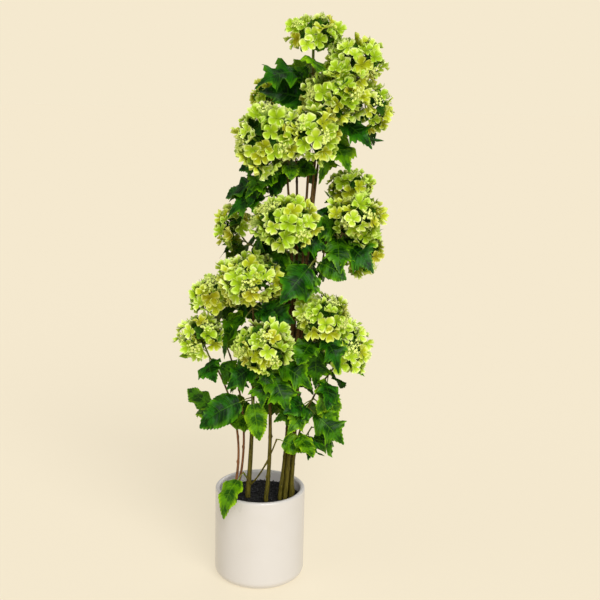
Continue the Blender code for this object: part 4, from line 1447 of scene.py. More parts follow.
def on_ring(edge: bmesh.types.BMEdge, radius: float, height: float) -> bool:
    """Whether an edge lies on the circle of a radius at a height."""
    spots = [(math.hypot(vert.co.x, vert.co.y), vert.co.z) for vert in edge.verts]
    return all(abs(out - radius) < MERGE and abs(up - height) < MERGE for out, up in spots)


def finish_shape(shape: Shape, name: str, sharp_angle: float) -> Mesh:
    """Make a smooth mesh of a bmesh and free it.

    Args:
        shape: The bmesh.
        name: The name of the mesh.
        sharp_angle: Edges that bend by more degrees than this stay sharp.

    Returns:
        The mesh.
    """
    mesh = bpy.data.meshes.new(name)
    shape.to_mesh(mesh)
    shape.free()
    smooth(mesh, sharp_angle)
    return mesh


@dataclass
class Soil:
    """The potting soil with loose crumbs on it.

    Args:
        steps: How many parts its circle has.
        rings: How many rings its top has.
        roughness: Height of its lumps.
        crumbs: How many loose crumbs lie on it.
        crumb_sizes: The smallest and the largest crumb.
    """

    steps: int = 72
    rings: int = 26
    roughness: float = 0.0022
    crumbs: int = 1100
    crumb_sizes: Pair = (0.001, 0.0034)

    @property
    def edge(self) -> float:
        """The radius of the filling."""
        return POT_RADIUS - POT_WALL - CLEAR

    def top(self, radius: float) -> float:
        """Height of the soil at a radius."""
        fall = max(0.0, radius - SOIL_FLAT) / (self.edge - SOIL_FLAT)
        return SOIL_LEVEL - SOIL_FALL * fall

    def lump(self, x: float, y: float) -> float:
        """Height of the lumps at a place, made of crossing waves."""
        waves = math.sin(x * 410 + 1.3) * math.cos(y * 370) + math.sin((x + y) * 690) * 0.6
        return (waves + math.sin(x * 1130 - y * 830) * 0.4) * self.roughness / 2

    def build(self) -> Mesh:
        """Turn the filling and rough up its top.

        Returns:
            The mesh.
        """
        radii = [self.edge * step / self.rings for step in range(self.rings + 1)]
        profile = [(radius, self.top(radius)) for radius in radii]
        profile += [(self.edge, POT_FLOOR + CLEAR), (0, POT_FLOOR + CLEAR)]
        shape = turned(profile, self.steps)
        for vert in shape.verts:
            if vert.co.z > SOIL_LEVEL - 2 * SOIL_FALL:
                vert.co.z += self.lump(vert.co.x, vert.co.y) - self.roughness / 2
        return finish_shape(shape, "potting_soil_bed", 70)

    def scatter(self) -> Batch:
        """Strew crumbs over the top, clear of the cane feet.

        Returns:
            The crumbs.
        """
        shape = mapped_shape()
        bmesh.ops.create_icosphere(shape, subdivisions=1, radius=1)
        lay_out(shape, shape.verts, lambda co: (
            0.5 + 0.27 * (co.x + 0.7 * co.z), 0.5 + 0.27 * (co.y + 0.4 * co.z)))
        template = Template.from_shape(shape)
        feet = [(cane.foot, cane.foot_radius) for cane in CANES.values()]
        dice = random.Random("soil")
        batch = Batch()
        for _ in range(self.crumbs):
            radius = (self.edge - self.crumb_sizes[1] / 2) * math.sqrt(dice.random())
            angle = dice.uniform(0, 2 * math.pi)
            x, y = radius * math.cos(angle), radius * math.sin(angle)
            size = np.interp(dice.uniform(0, 1) ** 2, (0, 1), self.crumb_sizes)
            if any(math.hypot(x - foot[0], y - foot[1]) < wide + size for foot, wide in feet):
                continue
            tumbled = Matrix.Rotation(angle * 7, 3, "X") @ Matrix.Rotation(angle * 11, 3, "Z")
            shaped = tumbled @ Matrix.Diagonal([size * dice.uniform(0.35, 0.6) for _ in range(3)])
            height = self.top(radius) + self.lump(x, y) + size * 0.05
            batch.add(template, template.points @ np.array(shaped).T + (x, y, height), "soil")
        return batch

    def dress(self) -> None:
        """Add the soil and its crumbs to the scene."""
        add_piece(self.build(), SOIL, {"soil"})
        self.scatter().dress("potting_soil_crumbs", 20, CRUMB, "potting_soil")


# ------ canes and boughs
@dataclass
class Bark:
    """Canes and boughs with the relief of their bark.

    Args:
        sides: Corners of a limb's circle.
        step: Length of a span along a limb.
        ring_gap: Distance between the swollen rings where old leaves sat.
        ring_swell: How much a ring is thicker, in radii.
        ring_half: Half the length of a ring.
        ridge: Depth of the lengthwise ridges, in radii.
        stub: Height of the old bud at each ring, in radii.
    """

    sides: int = 14
    step: float = 0.0022
    ring_gap: float = 0.062
    ring_swell: float = 0.16
    ring_half: float = 0.0016
    ridge: float = 0.07
    stub: float = 0.55

    def relief(self, along: np.ndarray, angle: np.ndarray, dice: Dice) -> np.ndarray:
        """How much a limb stands out from its even taper.

        Args:
            along: Length from the limb's foot, at every corner.
            angle: Angle round the limb, at every corner.
            dice: The limb's own source of chance.

        Returns:
            Factors of the radius.
        """
        factor = np.ones(len(along))
        for count in (2, 3, 5):
            drift = dice.uniform(-30, 30)
            wave = np.sin(count * angle + drift * along + dice.uniform(0, 6))
            factor += self.ridge * wave * (0.6 + 0.4 * np.sin(along * dice.uniform(80, 160))) / count**0.5
        place = dice.uniform(0.4, 1.0) * self.ring_gap
        turn_angle = dice.uniform(0, 2 * math.pi)
        while place < along.max():
            near = np.exp(-(((along - place) / self.ring_half) ** 2))
            facing = np.exp(-((np.angle(np.exp(1j * (angle - turn_angle))) / 0.55) ** 2))
            above = np.exp(-(((along - place - self.ring_half) / (self.ring_half * 1.4)) ** 2))
            factor += self.ring_swell * near + self.stub * facing * above
            place += self.ring_gap * dice.uniform(0.6, 1.4)
            turn_angle += math.pi * dice.uniform(0.6, 1.4)
        return factor

    def build(self, name: str, limb: Cane | Bough) -> Mesh:
        """Sweep one limb.

        Args:
            name: The CAD node's name.
            limb: The cane or bough.

        Returns:
            The mesh.
        """
        path = Path.through(limb.route(), self.step)
        template = tube_template(self.sides, len(path.places) - 1)
        along = template.points[:, 2] * path.run[-1]
        angle = np.arctan2(template.points[:, 1], template.points[:, 0])
        taper = np.interp(along, (0, path.run[-1]), (limb.foot_radius, limb.tip_radius))
        radii = taper * self.relief(along, angle, random.Random(name))
        batch = Batch()
        batch.add(template, sweep(template, path, radii), name)
        mesh = batch.mesh(name + "_bark", 50)
        mesh.uv_layers.remove(mesh.uv_layers[BAKE_MAP])
        return mesh

    def dress(self) -> None:
        """Add every cane and bough to the scene."""
        for name, limb in LIMBS.items():
            add_piece(self.build(name, limb), BARKS[limb.bark], {name})


# ------ room for growth
class Crown:
    """What takes up room in the crown: canes, boughs and flower heads."""

    def __init__(self, spacing: float = 0.004) -> None:
        """Note points along every cane and bough.

        Args:
            spacing: The distance between the points.
        """
        places = []
        for limb in LIMBS.values():
            path = Path.through(limb.route(), spacing)
            wide = np.interp(path.run, (0, path.run[-1]), (limb.foot_radius, limb.tip_radius))
            places += list(zip(path.places, wide))
        self.widths = [float(wide) for _, wide in places]
        self.limbs = KDTree(len(places))
        for index, (place, _) in enumerate(places):
            self.limbs.insert(place, index)
        self.limbs.balance()
        self.heads = [head for spray in SPRAYS.values() for head in spray.heads]

    def free(self, place: Vector, own: Head | None, skin: float, gap: float) -> bool:
        """Whether a place is free for growth.

        Args:
            place: The place.
            own: The head that it may lie in.
            skin: How deep it may be in another head, as a share of its size.
            gap: How far it has to be from every cane and bough.

        Returns:
            Whether it is free.
        """
        if any(head is not own and head.depth(place) < skin for head in self.heads):
            return False
        _, index, distance = self.limbs.find(place)
        return distance > self.widths[index] + gap


# ------ leaves
@dataclass(frozen=True)
class LeafCut:
    """One cut of leaf, as a thin closed lens in leaf lengths.

    Args:
        width: Factor of the width.
        lobed: 0 for a plain toothed leaf, and about 1 for a deeply lobed one.
        half_columns: Faces from the midrib to the margin.
        thickness: Thickness at the midrib.
    """

    width: float
    lobed: float
    half_columns: int = 3
    thickness: float = 0.01

    @cache
    def template(self) -> Template:
        """Wrap a grid round the outline: over the top and back below.

        Returns:
            The template.
        """
        shape = mapped_shape()
        bmesh.ops.create_grid(shape, x_segments=LEAF_ROWS, y_segments=4 * self.half_columns, size=0.5)
        lay_out(shape, shape.verts, lambda co: (0.02 + 0.96 * (co.x + 0.5), 0.98 - 0.96 * (co.y + 0.5)))
        for vert in shape.verts:
            mid, margin, half = leaf_row(round((vert.co.x + 0.5) * LEAF_ROWS), self.lobed)
            around = (vert.co.y + 0.5) * 2
            out = 1 - 2 * around if around <= 1 else 2 * around - 3
            lens = math.sqrt(max(0.0, 1 - out * out)) * (1 if around <= 1 else -1)
            full = min(1.0, half * 12)
            along = mid + (margin - mid) * abs(out) ** 1.25
            vert.co = (along, out * half * self.width, lens * full * self.thickness / 2)
        bmesh.ops.remove_doubles(shape, verts=shape.verts, dist=1e-5)
        bmesh.ops.recalc_face_normals(shape, faces=shape.faces)
        return Template.from_shape(shape)


@dataclass(frozen=True)
class LeafPlace:
    """Where one leaf of a spray grows: its stalk's start, its heading and rise, and its blade's length."""

    owner: str
    root: Vector
    azimuth: float
    pitch: float
    length: float

    @property
    def way(self) -> Vector:
        """The way of the midrib at the stalk."""
        heading = Vector((math.cos(self.azimuth), math.sin(self.azimuth), 0))
        return heading * math.cos(self.pitch) + UP * math.sin(self.pitch)

    @property
    def base(self) -> Vector:
        """Where the stalk meets the blade."""
        return self.root + self.way * PETIOLE_LENGTH * self.length

    def spot(self, along: float, out: float = 0.0) -> Vector:
        """A point of the plain leaf, folded up from the midrib and drooping to its tip.

        Args:
            along: Place along the blade, in leaf lengths.
            out: Place across it, in leaf lengths.

        Returns:
            The point.
        """
        way = self.way
        side = way.cross(UP).normalized()
        top = side.cross(way)
        stalk = PETIOLE_LENGTH * self.length
        lift = abs(out) * LEAF_FOLD * self.length
        sag = LEAF_DROOP * along * along * self.length
        place = self.root + way * (stalk + along * self.length) + side * out * self.length
        return place + top * lift - UP * sag


@dataclass
class Leaves:
    """All the leaves with their stalks.

    Args:
        crown: The room that is taken.
        cuts: The cuts of most leaves, with the most lobed first.
        oval_cuts: The cuts of the oval leaves.
        slim_cut: The cut of the narrow leaves.
        large: Leaves longer than this take one of the two most lobed cuts, unless they are oval.
        greens: Shares of the tints, in the order of LeafTint.
        low_greens: Their shares on a low spray.
        low_down: A spray whose stalks part below this height is low.
        stalk: The leaf stalks.
        stalk_arch: How far a stalk arches up.
        stalk_sink: How far it goes into the blade.
        extra: How many smaller leaves a spray gets between those of the solids.
        tries: How many places are drawn for each of them, until one has room.
        pitches: The range of their rise, in degrees.
        sizes: The range of their size, as shares of the full length.
        skin: How deep they may be in a head, as a share of its size.
        gap: How far they keep from canes and boughs.
        ripple: Height of the waves along the margins, in leaf lengths.
        curl: How far the margins bend down, in leaf lengths.
        match: How near a solid's corner has to be to show which try it took.
        axis: The middle of the crown, in X and Y.
        faced: How much a face would rather look to the front or the back than to the sides.
        skyward: How much it would rather look up.
        outlook: How far it turns that way, as a share.
        most_roll: The most that it turns, in radians.
        roll: How far it turns at random.
        low_edge: No leaf that is added hangs lower than this.
    """

    crown: Crown
    cuts: tuple[LeafCut, ...] = (
        LeafCut(1.0, 1.1), LeafCut(0.94, 0.85), LeafCut(0.96, 0.25), LeafCut(0.94, 0.05))
    oval_cuts: tuple[LeafCut, ...] = (LeafCut(0.82, 0.35), LeafCut(0.8, 0.1))
    slim_cut: LeafCut = LeafCut(0.74, 0.0)
    large: float = 0.054
    greens: tuple[float, ...] = (0.3, 0.38, 0.28, 0.04)
    low_greens: tuple[float, ...] = (0.24, 0.33, 0.35, 0.08)
    low_down: float = 0.45
    stalk: Wire = Wire(0.00104, 0.0008, 6, 0.004)
    stalk_arch: float = 0.0012
    stalk_sink: float = 0.002
    extra: int = 2
    tries: int = 6
    pitches: Pair = (-50, 25)
    sizes: Pair = (0.5, 0.8)
    skin: float = 0.9
    gap: float = 0.006
    ripple: float = 0.075
    curl: float = 0.7
    match: float = 0.0002
    axis: Pair = (0.035, 0.01)
    faced: float = 0.7
    skyward: float = 0.6
    outlook: float = 0.9
    most_roll: float = 1.5
    roll: float = 0.35
    low_edge: float = 0.275

    def from_solids(self, name: str) -> Iterator[LeafPlace]:
        """The leaves that the solid has, found by repeating its rule and its draws.

        Args:
            name: The spray's name.

        Yields:
            Each leaf's place.
        """
        spray = SPRAYS[name]
        dice = random.Random(name)
        for head in spray.heads:
            for _ in range(SOLID_FLORETS_SMALL if head.radius < SMALL_HEAD else SOLID_FLORETS_LARGE):
                dice.uniform(0, math.pi / 2)
                dice.uniform(-SOLID_FLORET_SPREAD, 0)
        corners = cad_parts[name].data.vertices
        tree = KDTree(len(corners))
        for index, corner in enumerate(corners):
            tree.insert(corner.co, index)
        tree.balance()
        route = spray.routes()[0]
        first, last = spray.leafy
        for index, (azimuth, pitch, size) in enumerate(spray.leaves):
            root = route_point(route, first + (last - first) * (index + 1) / len(spray.leaves))
            for attempt in range(LEAF_TRIES):
                spread = LEAF_PITCH_SPREAD * (attempt + FIRST_TRY)
                turned = azimuth + dice.uniform(-1, 1) * spread
                tilt = pitch + dice.uniform(-1, 1) * spread
                length = LEAF_LENGTH * size * (1 + dice.uniform(-1, 1) * LEAF_LENGTH_SPREAD)
                length *= 1 - LEAF_SHRINK * attempt
                leaf = LeafPlace(name, root, math.radians(turned), math.radians(tilt), length)
                shoulder, half = LEAF_SHOULDER
                marks = (leaf.spot(1), leaf.spot(shoulder, half), leaf.spot(shoulder, -half))
                if any(tree.find(mark)[2] < self.match for mark in marks):
                    yield leaf
                    break

    def between(self, name: str) -> Iterator[LeafPlace]:
        """Smaller leaves between those of the solid, where there is room.

        Args:
            name: The spray's name.

        Yields:
            Each leaf's place.
        """
        spray = SPRAYS[name]
        route = spray.routes()[0]
        for azimuth, pitch, size, part in MORE_LEAVES.get(name, ()):
            yield LeafPlace(name, route_point(route, part), math.radians(azimuth), math.radians(pitch),
                            LEAF_LENGTH * size)
        if len(spray.leaves) < 2 or name in OPEN_SHOOTS:
            return
        dice = random.Random(name + "_more")
        for _ in range(self.extra):
            for _ in range(self.tries):
                root = route_point(route, dice.uniform(*spray.leafy))
                leaf = LeafPlace(
                    name, root, dice.uniform(0, 2 * math.pi), math.radians(dice.uniform(*self.pitches)),
                    LEAF_LENGTH * dice.uniform(*self.sizes))
                if self.has_room(leaf):
                    yield leaf
                    break

    def has_room(self, leaf: LeafPlace) -> bool:
        """Whether a leaf stays within the box of the solids and out of heads and limbs.

        Args:
            leaf: The leaf.

        Returns:
            Whether it has room.
        """
        marks = [leaf.spot(part, out) for part, out in LEAF_MARKS]
        low, high = cad_box
        inside = all(l < part < h for mark in marks for l, part, h in zip(low, mark, high))
        if not inside or marks[0].z <= self.low_edge:
            return False
        return all(self.crown.free(mark, None, self.skin, self.gap) for mark in marks)

    def bent(self, template: Template, leaf: LeafPlace, dice: Dice) -> np.ndarray:
        """Bend a cut of leaf into its own pose.

        Args:
            template: The cut.
            leaf: Its place.
            dice: The source of its waves, curl and twist.

        Returns:
            The corners.
        """
        along, out, thick = template.points.T
        edge = np.abs(out)
        fold = LEAF_FOLD * dice.uniform(0.5, 1.25)
        phase = dice.uniform(0, 2 * math.pi)
        wave = np.sin(along * dice.uniform(14, 20) + phase + np.sign(out) * dice.uniform(0.5, 2.0))
        lift = edge * fold + self.ripple * wave * np.clip(edge / 0.3, 0, 1.3) ** 1.5
        lift = lift - self.curl * dice.uniform(0.2, 1.1) * edge**2
        bend = dice.uniform(-0.1, 0.1)
        twist = dice.uniform(-0.5, 0.5) * along
        dip = dice.uniform(-0.05, 0.1) * np.sin(np.clip(along, 0, 1) * math.pi)
        out = out + bend * along**2
        lift = lift + thick + dip
        turned_out = out * np.cos(twist) - lift * np.sin(twist)
        turned_lift = out * np.sin(twist) + lift * np.cos(twist)
        droop = LEAF_DROOP * dice.uniform(0.5, 1.1)
        past = np.clip(along, 0, None)
        curled = droop * past**2 + dice.uniform(0, 0.2) * past**5
        way = leaf.way
        side, top = self.rolled(leaf, dice)
        sag = UP * 0.45 + top * 0.55
        places = np.outer(along, way) + np.outer(turned_out, side) + np.outer(turned_lift, top)
        return np.array(leaf.base) + (places - np.outer(curled, sag)) * leaf.length

    def rolled(self, leaf: LeafPlace, dice: Dice) -> tuple[Vector, Vector]:
        """Turn a leaf about its midrib, so that its face looks out of the crown.

        Args:
            leaf: The leaf.
            dice: The source of the rest of its turn.

        Returns:
            Its side and its top vector.
        """
        way = leaf.way
        side = way.cross(UP).normalized()
        top = side.cross(way)
        outward = leaf.spot(0.5) - Vector((*self.axis, leaf.root.z))
        outward.z = 0
        wanted = outward.normalized() + Vector((0, math.copysign(self.faced, outward.y), self.skyward))
        angle = self.outlook * math.atan2(wanted.dot(side), wanted.dot(top))
        angle = max(-self.most_roll, min(self.most_roll, angle)) + dice.uniform(-self.roll, self.roll)
        return side * math.cos(angle) - top * math.sin(angle), top * math.cos(angle) + side * math.sin(angle)

    def cut(self, leaf: LeafPlace, dice: Dice) -> LeafCut:
        """The cut of one leaf, which takes one draw also where there is no choice.

        Args:
            leaf: The leaf.
            dice: The source of the choice.

        Returns:
            The cut.
        """
        cuts = self.cuts
        if leaf.owner in OVAL_LEAVES:
            cuts = self.oval_cuts
        elif leaf.length > self.large:
            cuts = self.cuts[:2]
        chosen = dice.choice(cuts)
        return self.slim_cut if leaf.owner in SLIM_LEAVES else chosen

    def tint(self, name: str, dice: Dice) -> LeafTint:
        """The green of one leaf of a spray: brighter low on the plant."""
        shares = self.low_greens if SPRAYS[name].node[2] < self.low_down else self.greens
        return dice.choices(list(LeafTint), shares)[0]

    def dress(self) -> None:
        """Add every leaf and leaf stalk to the scene."""
        batches = {tint: Batch() for tint in LeafTint}
        stalks = Batch()
        count = 0
        for name in SPRAYS:
            dice = random.Random(name + "_leaves")
            for leaf in [*self.from_solids(name), *self.between(name)]:
                cut = self.cut(leaf, dice).template()
                batches[self.tint(name, dice)].add(cut, self.bent(cut, leaf, dice), name)
                arch = leaf.root.lerp(leaf.base, 0.5) + UP * self.stalk_arch
                self.stalk.grow(stalks, [leaf.root, arch, leaf.base + leaf.way * self.stalk_sink], name)
                count += 1
        for tint, batch in batches.items():
            batch.dress("leaves_" + tint.value, 75, LEAF_FINISHES[tint], "leaf")
        stalks.dress("leaf_stalks", 50, PETIOLE, "leaf")
        LOG.info("%d leaves", count)


# ------ flower heads
# The power of a formula that comes near the surface of an ellipsoid.
DOME_POWER = 1.6075
FEWEST_FLORETS = 8


@dataclass(frozen=True)
class FloretCut:
    """One pressing of a four-petalled cloth floret, in floret radii, with its face up in Z.

    Args:
        seed: The source of its ruffles.
        along: Faces from a petal's claw to its rim.
        wide: Faces across a petal.
    """

    seed: int
    along: int = 4
    wide: int = 4

    def petal(self, shape: Shape, angle: float, dice: Dice) -> None:
        """Add one petal from a grid.

        Args:
            shape: The floret's bmesh.
            angle: The way in which the petal points.
            dice: The source of its ruffles.
        """
        petal = bmesh.ops.create_grid(shape, x_segments=self.along, y_segments=self.wide, size=0.5)["verts"]
        lay_out(shape, petal, lambda co: (0.54 + 0.88 * co.x, 0.5 + 0.96 * co.y))
        cup = dice.uniform(0.16, 0.44)
        rise = dice.uniform(0.02, 0.55)
        lip = dice.uniform(-0.14, 0.2)
        phase = dice.uniform(0, 6)
        size = dice.uniform(0.86, 1.06)
        for vert in petal:
            part, side = vert.co.x + 0.5, vert.co.y * 2
            half = 0.06 + 0.44 * math.sin(min(1.0, part * 1.25) * math.pi / 2) ** 1.2
            half *= 1 - 0.36 * part**5
            reach = part * (1 - 0.2 * side * side * part)
            ruffle = 0.035 * math.sin(side * 4.0 + phase) * part * part
            height = rise * part * (1 - 0.35 * part) + cup * side * side * part + lip * part**3 + ruffle
            vert.co = (reach * size, side * half * size, height)
        bmesh.ops.rotate(shape, verts=petal, cent=(0, 0, 0), matrix=Matrix.Rotation(angle, 3, "Z"))

    @cache
    def template(self) -> Template:
        """Four petals, in two crossing pairs, round a small eye.

        Returns:
            The template.
        """
        dice = random.Random(self.seed)
        shape = mapped_shape()
        eye = bmesh.ops.create_cone(
            shape, cap_ends=True, segments=5, radius1=0.1, radius2=0.05, depth=0.14,
            matrix=Matrix.Translation((0, 0, 0.04)))["verts"]
        lay_out(shape, eye, lambda co: (0.035 + 0.1 * (co.x + 0.5 * co.z), 0.5 + 1.2 * (co.y + 0.6 * co.z)))
        for index in range(4):
            self.petal(shape, math.pi / 2 * index + dice.uniform(-0.1, 0.1), dice)
        return Template.from_shape(shape)


@dataclass
class Blossom:
    """Every flower head: florets in two layers on thin pedicels.

    Args:
        crown: The room that is taken.
        floret: Radius of a floret.
        sizes: The range of its size, as shares of that.
        small_head: Size of the florets where a head has no width, and their growth with its radius.
        footing: Area of the dome that one outer floret takes, in square metres.
        outer: How full the outer layer is, and how far out it is as shares of the head.
        inner: The same of the inner layer, whose dark green finish is painted shade.
        jitter: The largest move of a floret's direction.
        tilt: The largest move of a floret's face.
        lift: How much it would rather look up.
        dyes: Shares of the dyes, in the order of PetalTint.
        pale_dyes: Their shares on the pale spray.
        cuts: How many pressings of floret there are.
        pedicel: The stalk of a floret.
        knee: How far out a pedicel bends, and how much.
        seat: How far below a floret it ends, in floret radii.
        skin: How deep a floret may be in another head, as a share of its size.
        gap: How far the florets keep from canes and boughs.
        notch: How far apart the skins of two heads of a spray may be to be joined by a tuft.
        tuft: Size of that tuft, as shares of the smaller head's radius and half height.
        opening: How far the florets keep from a spray of buds, in radians.
        past: How far a floret may reach past the box of the solids.
    """

    crown: Crown
    floret: float = 0.0164
    sizes: Pair = (0.8, 1.08)
    small_head: Pair = (0.72, 7.0)
    footing: float = 0.00047
    outer: Three = (1.0, 0.72, 1.0)
    inner: Three = (0.36, 0.44, 0.6)
    jitter: float = 0.1
    tilt: float = 0.7
    lift: float = 0.12
    dyes: tuple[float, ...] = (0.4, 0.26, 0.27, 0.07, 0.0)
    pale_dyes: tuple[float, ...] = (0.27, 0.58, 0.12, 0.03, 0.0)
    cuts: int = 6
    pedicel: Wire = Wire(0.000546, 0.00042, 3, 0.016)
    knee: Pair = (0.55, 0.1)
    seat: float = 0.02
    skin: float = 0.7
    gap: float = 0.004
    notch: float = 0.012
    tuft: Pair = (0.85, 0.9)
    opening: float = 0.2
    past: float = 0.009

    def ways(self, head: Head, dice: Dice, share: float) -> list[Vector]:
        """Directions of a layer of florets, as many as the head's skin has room for.

        Args:
            head: The head.
            dice: The source of the jitter.
            share: How full the layer is.

        Returns:
            Unit vectors.
        """
        wide, high = head.radius, head.half_height
        mean = (wide ** (2 * DOME_POWER) + 2 * (wide * high) ** DOME_POWER) / 3
        area = 4 * math.pi * mean ** (1 / DOME_POWER)
        return spread_directions(max(FEWEST_FLORETS, round(area * share / self.footing)), dice, self.jitter)

    def between(self, spray: Spray) -> list[Head]:
        """Fill the notch between the two heads of a spray with a small tuft, where they touch.

        Args:
            spray: The spray.

        Returns:
            The tuft, or nothing.
        """
        if len(spray.heads) < 2:
            return []
        first, second = spray.heads
        middle = first.centre.lerp(second.centre, 0.5)
        if (first.centre - second.centre).length > first.radius + second.radius + self.notch:
            return []
        radius = min(first.radius, second.radius) * self.tuft[0]
        return [Head(*middle, radius, min(first.half_height, second.half_height) * self.tuft[1])]

    def tint(self, head: Head, dice: Dice) -> PetalTint:
        """The dye of one floret of a head."""
        shares = self.pale_dyes if head in SPRAYS[PALE_SPRAY].heads else self.dyes
        return dice.choices(list(PetalTint), shares)[0]

    def floret_frame(self, head: Head, way: Vector, rise: float, dice: Dice) -> tuple[Vector, Vector, Vector]:
        """Where a floret sits and how it faces.

        Args:
            head: Its head.
            way: Its direction on the unit ball.
            rise: How far out it is, as a share of the head.
            dice: The source of its tilt and turn.

        Returns:
            Its centre, its outward normal and a side vector.
        """
        centre = head.centre + way * head.stretch * rise
        normal = Vector([part / size for part, size in zip(way, head.stretch)]).normalized()
        normal = (normal + nudge(dice, self.tilt) + UP * self.lift).normalized()
        side = across(normal)
        turned = dice.uniform(0, math.pi / 2)
        return centre, normal, side * math.cos(turned) + normal.cross(side) * math.sin(turned)

    def drawn_back(self, points: np.ndarray) -> np.ndarray:
        """How far a floret has to move, so that it stays within the reach of the solids.

        Args:
            points: Its corners.

        Returns:
            The way that it moves.
        """
        low, high = (np.array(corner) for corner in cad_box)
        short = np.maximum(0, low - self.past - points.min(axis=0))
        return short - np.maximum(0, points.max(axis=0) - high - self.past)

    def dress_head(self, name: str, head: Head, batches: dict[PetalTint, Batch], stalks: Batch) -> None:
        """Grow the florets of one head.

        Args:
            name: Its spray.
            head: The head.
            batches: Where the florets go.
            stalks: Where the pedicels go.
        """
        dice = random.Random(f"{name}_{head.x}")
        hub = SPRAYS[name].hub(head)
        above = -SPRAYS[name].below(head)
        buds = bud_ways(name, head)
        small = min(1.0, self.small_head[0] + self.small_head[1] * head.radius)
        # The inner layer takes the dark finish that paints the shade deep in the head.
        for (share, low, high), dye in ((self.outer, None), (self.inner, PetalTint.INNER)):
            for way in self.ways(head, dice, share):
                centre, normal, side = self.floret_frame(head, way, dice.uniform(low, high), dice)
                size = self.floret * small * dice.uniform(*self.sizes)
                template = FloretCut(dice.choice(range(self.cuts))).template()
                batch = batches[dye or self.tint(head, dice)]
                hidden = way.angle(above) > HEAD_UNDERSIDE
                if hidden or not self.crown.free(centre, head, self.skin, self.gap):
                    continue
                if dye is None and any(way.angle(bud) < self.opening for bud in buds):
                    continue
                axes = np.array((side, normal.cross(side), normal))
                points = template.points * size @ axes + np.array(centre)
                back = self.drawn_back(points)
                batch.add(template, points + back, name)
                centre += Vector(back)
                knee = hub.lerp(centre, self.knee[0]) + (centre - hub).cross(side) * self.knee[1]
                self.pedicel.grow(stalks, [hub, knee, centre - normal * size * self.seat], name)

    def dress(self) -> None:
        """Add every head's florets and pedicels to the scene."""
        batches = {tint: Batch() for tint in PetalTint}
        stalks = Batch()
        for name, spray in SPRAYS.items():
            for head in [*spray.heads, *self.between(spray)]:
                self.dress_head(name, head, batches, stalks)
        for tint, batch in batches.items():
            batch.dress("florets_" + tint.value, 80, PETAL_FINISHES[tint], "blossom")
        stalks.dress("flower_stalks", 80, PEDICEL, "blossom")


def bud_ways(name: str, head: Head) -> list[Vector]:
    """Directions of a head's sprays of buds, none of them on its underside.

    Args:
        name: The head's spray.
        head: The head.

    Returns:
        Unit vectors.
    """
    dice = random.Random(f"{name}_{head.x}_bud_ways")
    below = SPRAYS[name].below(head)
    ways = []
    for _ in range(BUD_SPRAYS_LARGE if head.radius > LARGE_HEAD else BUD_SPRAYS_SMALL):
        way = Vector([dice.gauss(0, 1) for _ in range(3)]).normalized()
        if way.dot(below) > BUD_LEAN:
            way = (way - below * 2 * way.dot(below)).normalized()
        ways.append(way)
    return ways


@dataclass
class Buds:
    """Sprays of small pale buds that stand among the florets.

    Args:
        star: Radius of an open bud.
        sizes: The range of its size, as shares of that.
        waist: Radius of the star between its points, in star radii.
        points_rise: How far its points stand up.
        heart_rise: How far its heart stands up.
        per_spray: Buds in each spray.
        reach: How far out the buds stand, as shares of the head.
        hub: How far out their stalks part.
        spread: How far a bud may stand from the middle of its spray, on the unit ball.
        tilt: The largest move of a bud's face.
        stalk: The stalk of a bud.
        bend: How far the stalk bows out.
    """

    star: float = 0.0026
    sizes: Pair = (0.7, 1.15)
    waist: float = 0.48
    points_rise: float = 0.1
    heart_rise: float = 0.25
    per_spray: int = 22
    reach: Pair = (1.0, 1.14)
    hub: float = 0.7
    spread: float = 0.24
    tilt: float = 0.3
    stalk: Wire = Wire(0.000588, 0.00042, 3, 0.015)
    bend: float = 0.001

    def template(self) -> Template:
        """A five-pointed star with a raised heart, in star radii.

        Returns:
            The template.
        """
        shape = mapped_shape()
        ring = bmesh.ops.create_circle(shape, cap_ends=True, segments=10, radius=1)["verts"]
        for index, vert in enumerate(ring):
            vert.co *= 1.0 if index % 2 else self.waist
            vert.co.z = self.points_rise if index % 2 else 0.0
        heart = bmesh.ops.poke(shape, faces=list(shape.faces))["verts"][0]
        heart.co.z = self.heart_rise
        lay_out(shape, shape.verts, lambda co: (0.5 + 0.45 * co.x, 0.5 + 0.45 * co.y))
        return Template.from_shape(shape)

    def spray_out(self, name: str, head: Head, template: Template, stars: Batch, stalks: Batch) -> None:
        """Grow the sprays of buds of one head.

        Args:
            name: Its spray.
            head: The head.
            template: The star.
            stars: Where the stars go.
            stalks: Where the stalks go.
        """
        dice = random.Random(f"{name}_{head.x}_buds")
        for way in bud_ways(name, head):
            hub = head.centre + way * head.stretch * self.hub
            for _ in range(self.per_spray):
                own = (way + nudge(dice, self.spread)).normalized()
                end = head.centre + own * head.stretch * dice.uniform(*self.reach)
                normal = (own + nudge(dice, self.tilt)).normalized()
                side = across(normal)
                axes = np.array((side, normal.cross(side), normal)) * self.star * dice.uniform(*self.sizes)
                stars.add(template, template.points @ axes + np.array(end), name)
                self.stalk.grow(stalks, [hub, hub.lerp(end, 0.5) + side * self.bend, end], name)

    def dress(self) -> None:
        """Add the buds and their stalks to the scene."""
        template = self.template()
        stars, stalks = Batch(), Batch()
        for name, spray in SPRAYS.items():
            for head in spray.heads:
                self.spray_out(name, head, template, stars, stalks)
        stars.dress("bud_stars", 80, BUD, "blossom")
        stalks.dress("bud_stalks", 80, BUD_STALK, "blossom")


@dataclass
class Stems:
    """Stems and stalks of the sprays, stout for the top spray."""

    sides: int = 8
    step: float = 0.004
    stout: float = 1.6

    def dress(self) -> None:
        """Add every stem to the scene."""
        batch = Batch()
        for name, spray in SPRAYS.items():
            for index, route in enumerate(spray.routes()):
                foot = STALK_RADIUS if index else STEM_RADIUS
                stout = self.stout if name == TOP_SPRAY else 1.0
                Wire(foot * stout, STALK_RADIUS * stout, self.sides, self.step).grow(batch, route, name)
        batch.dress("spray_stems", 50, STEM, "leaf")


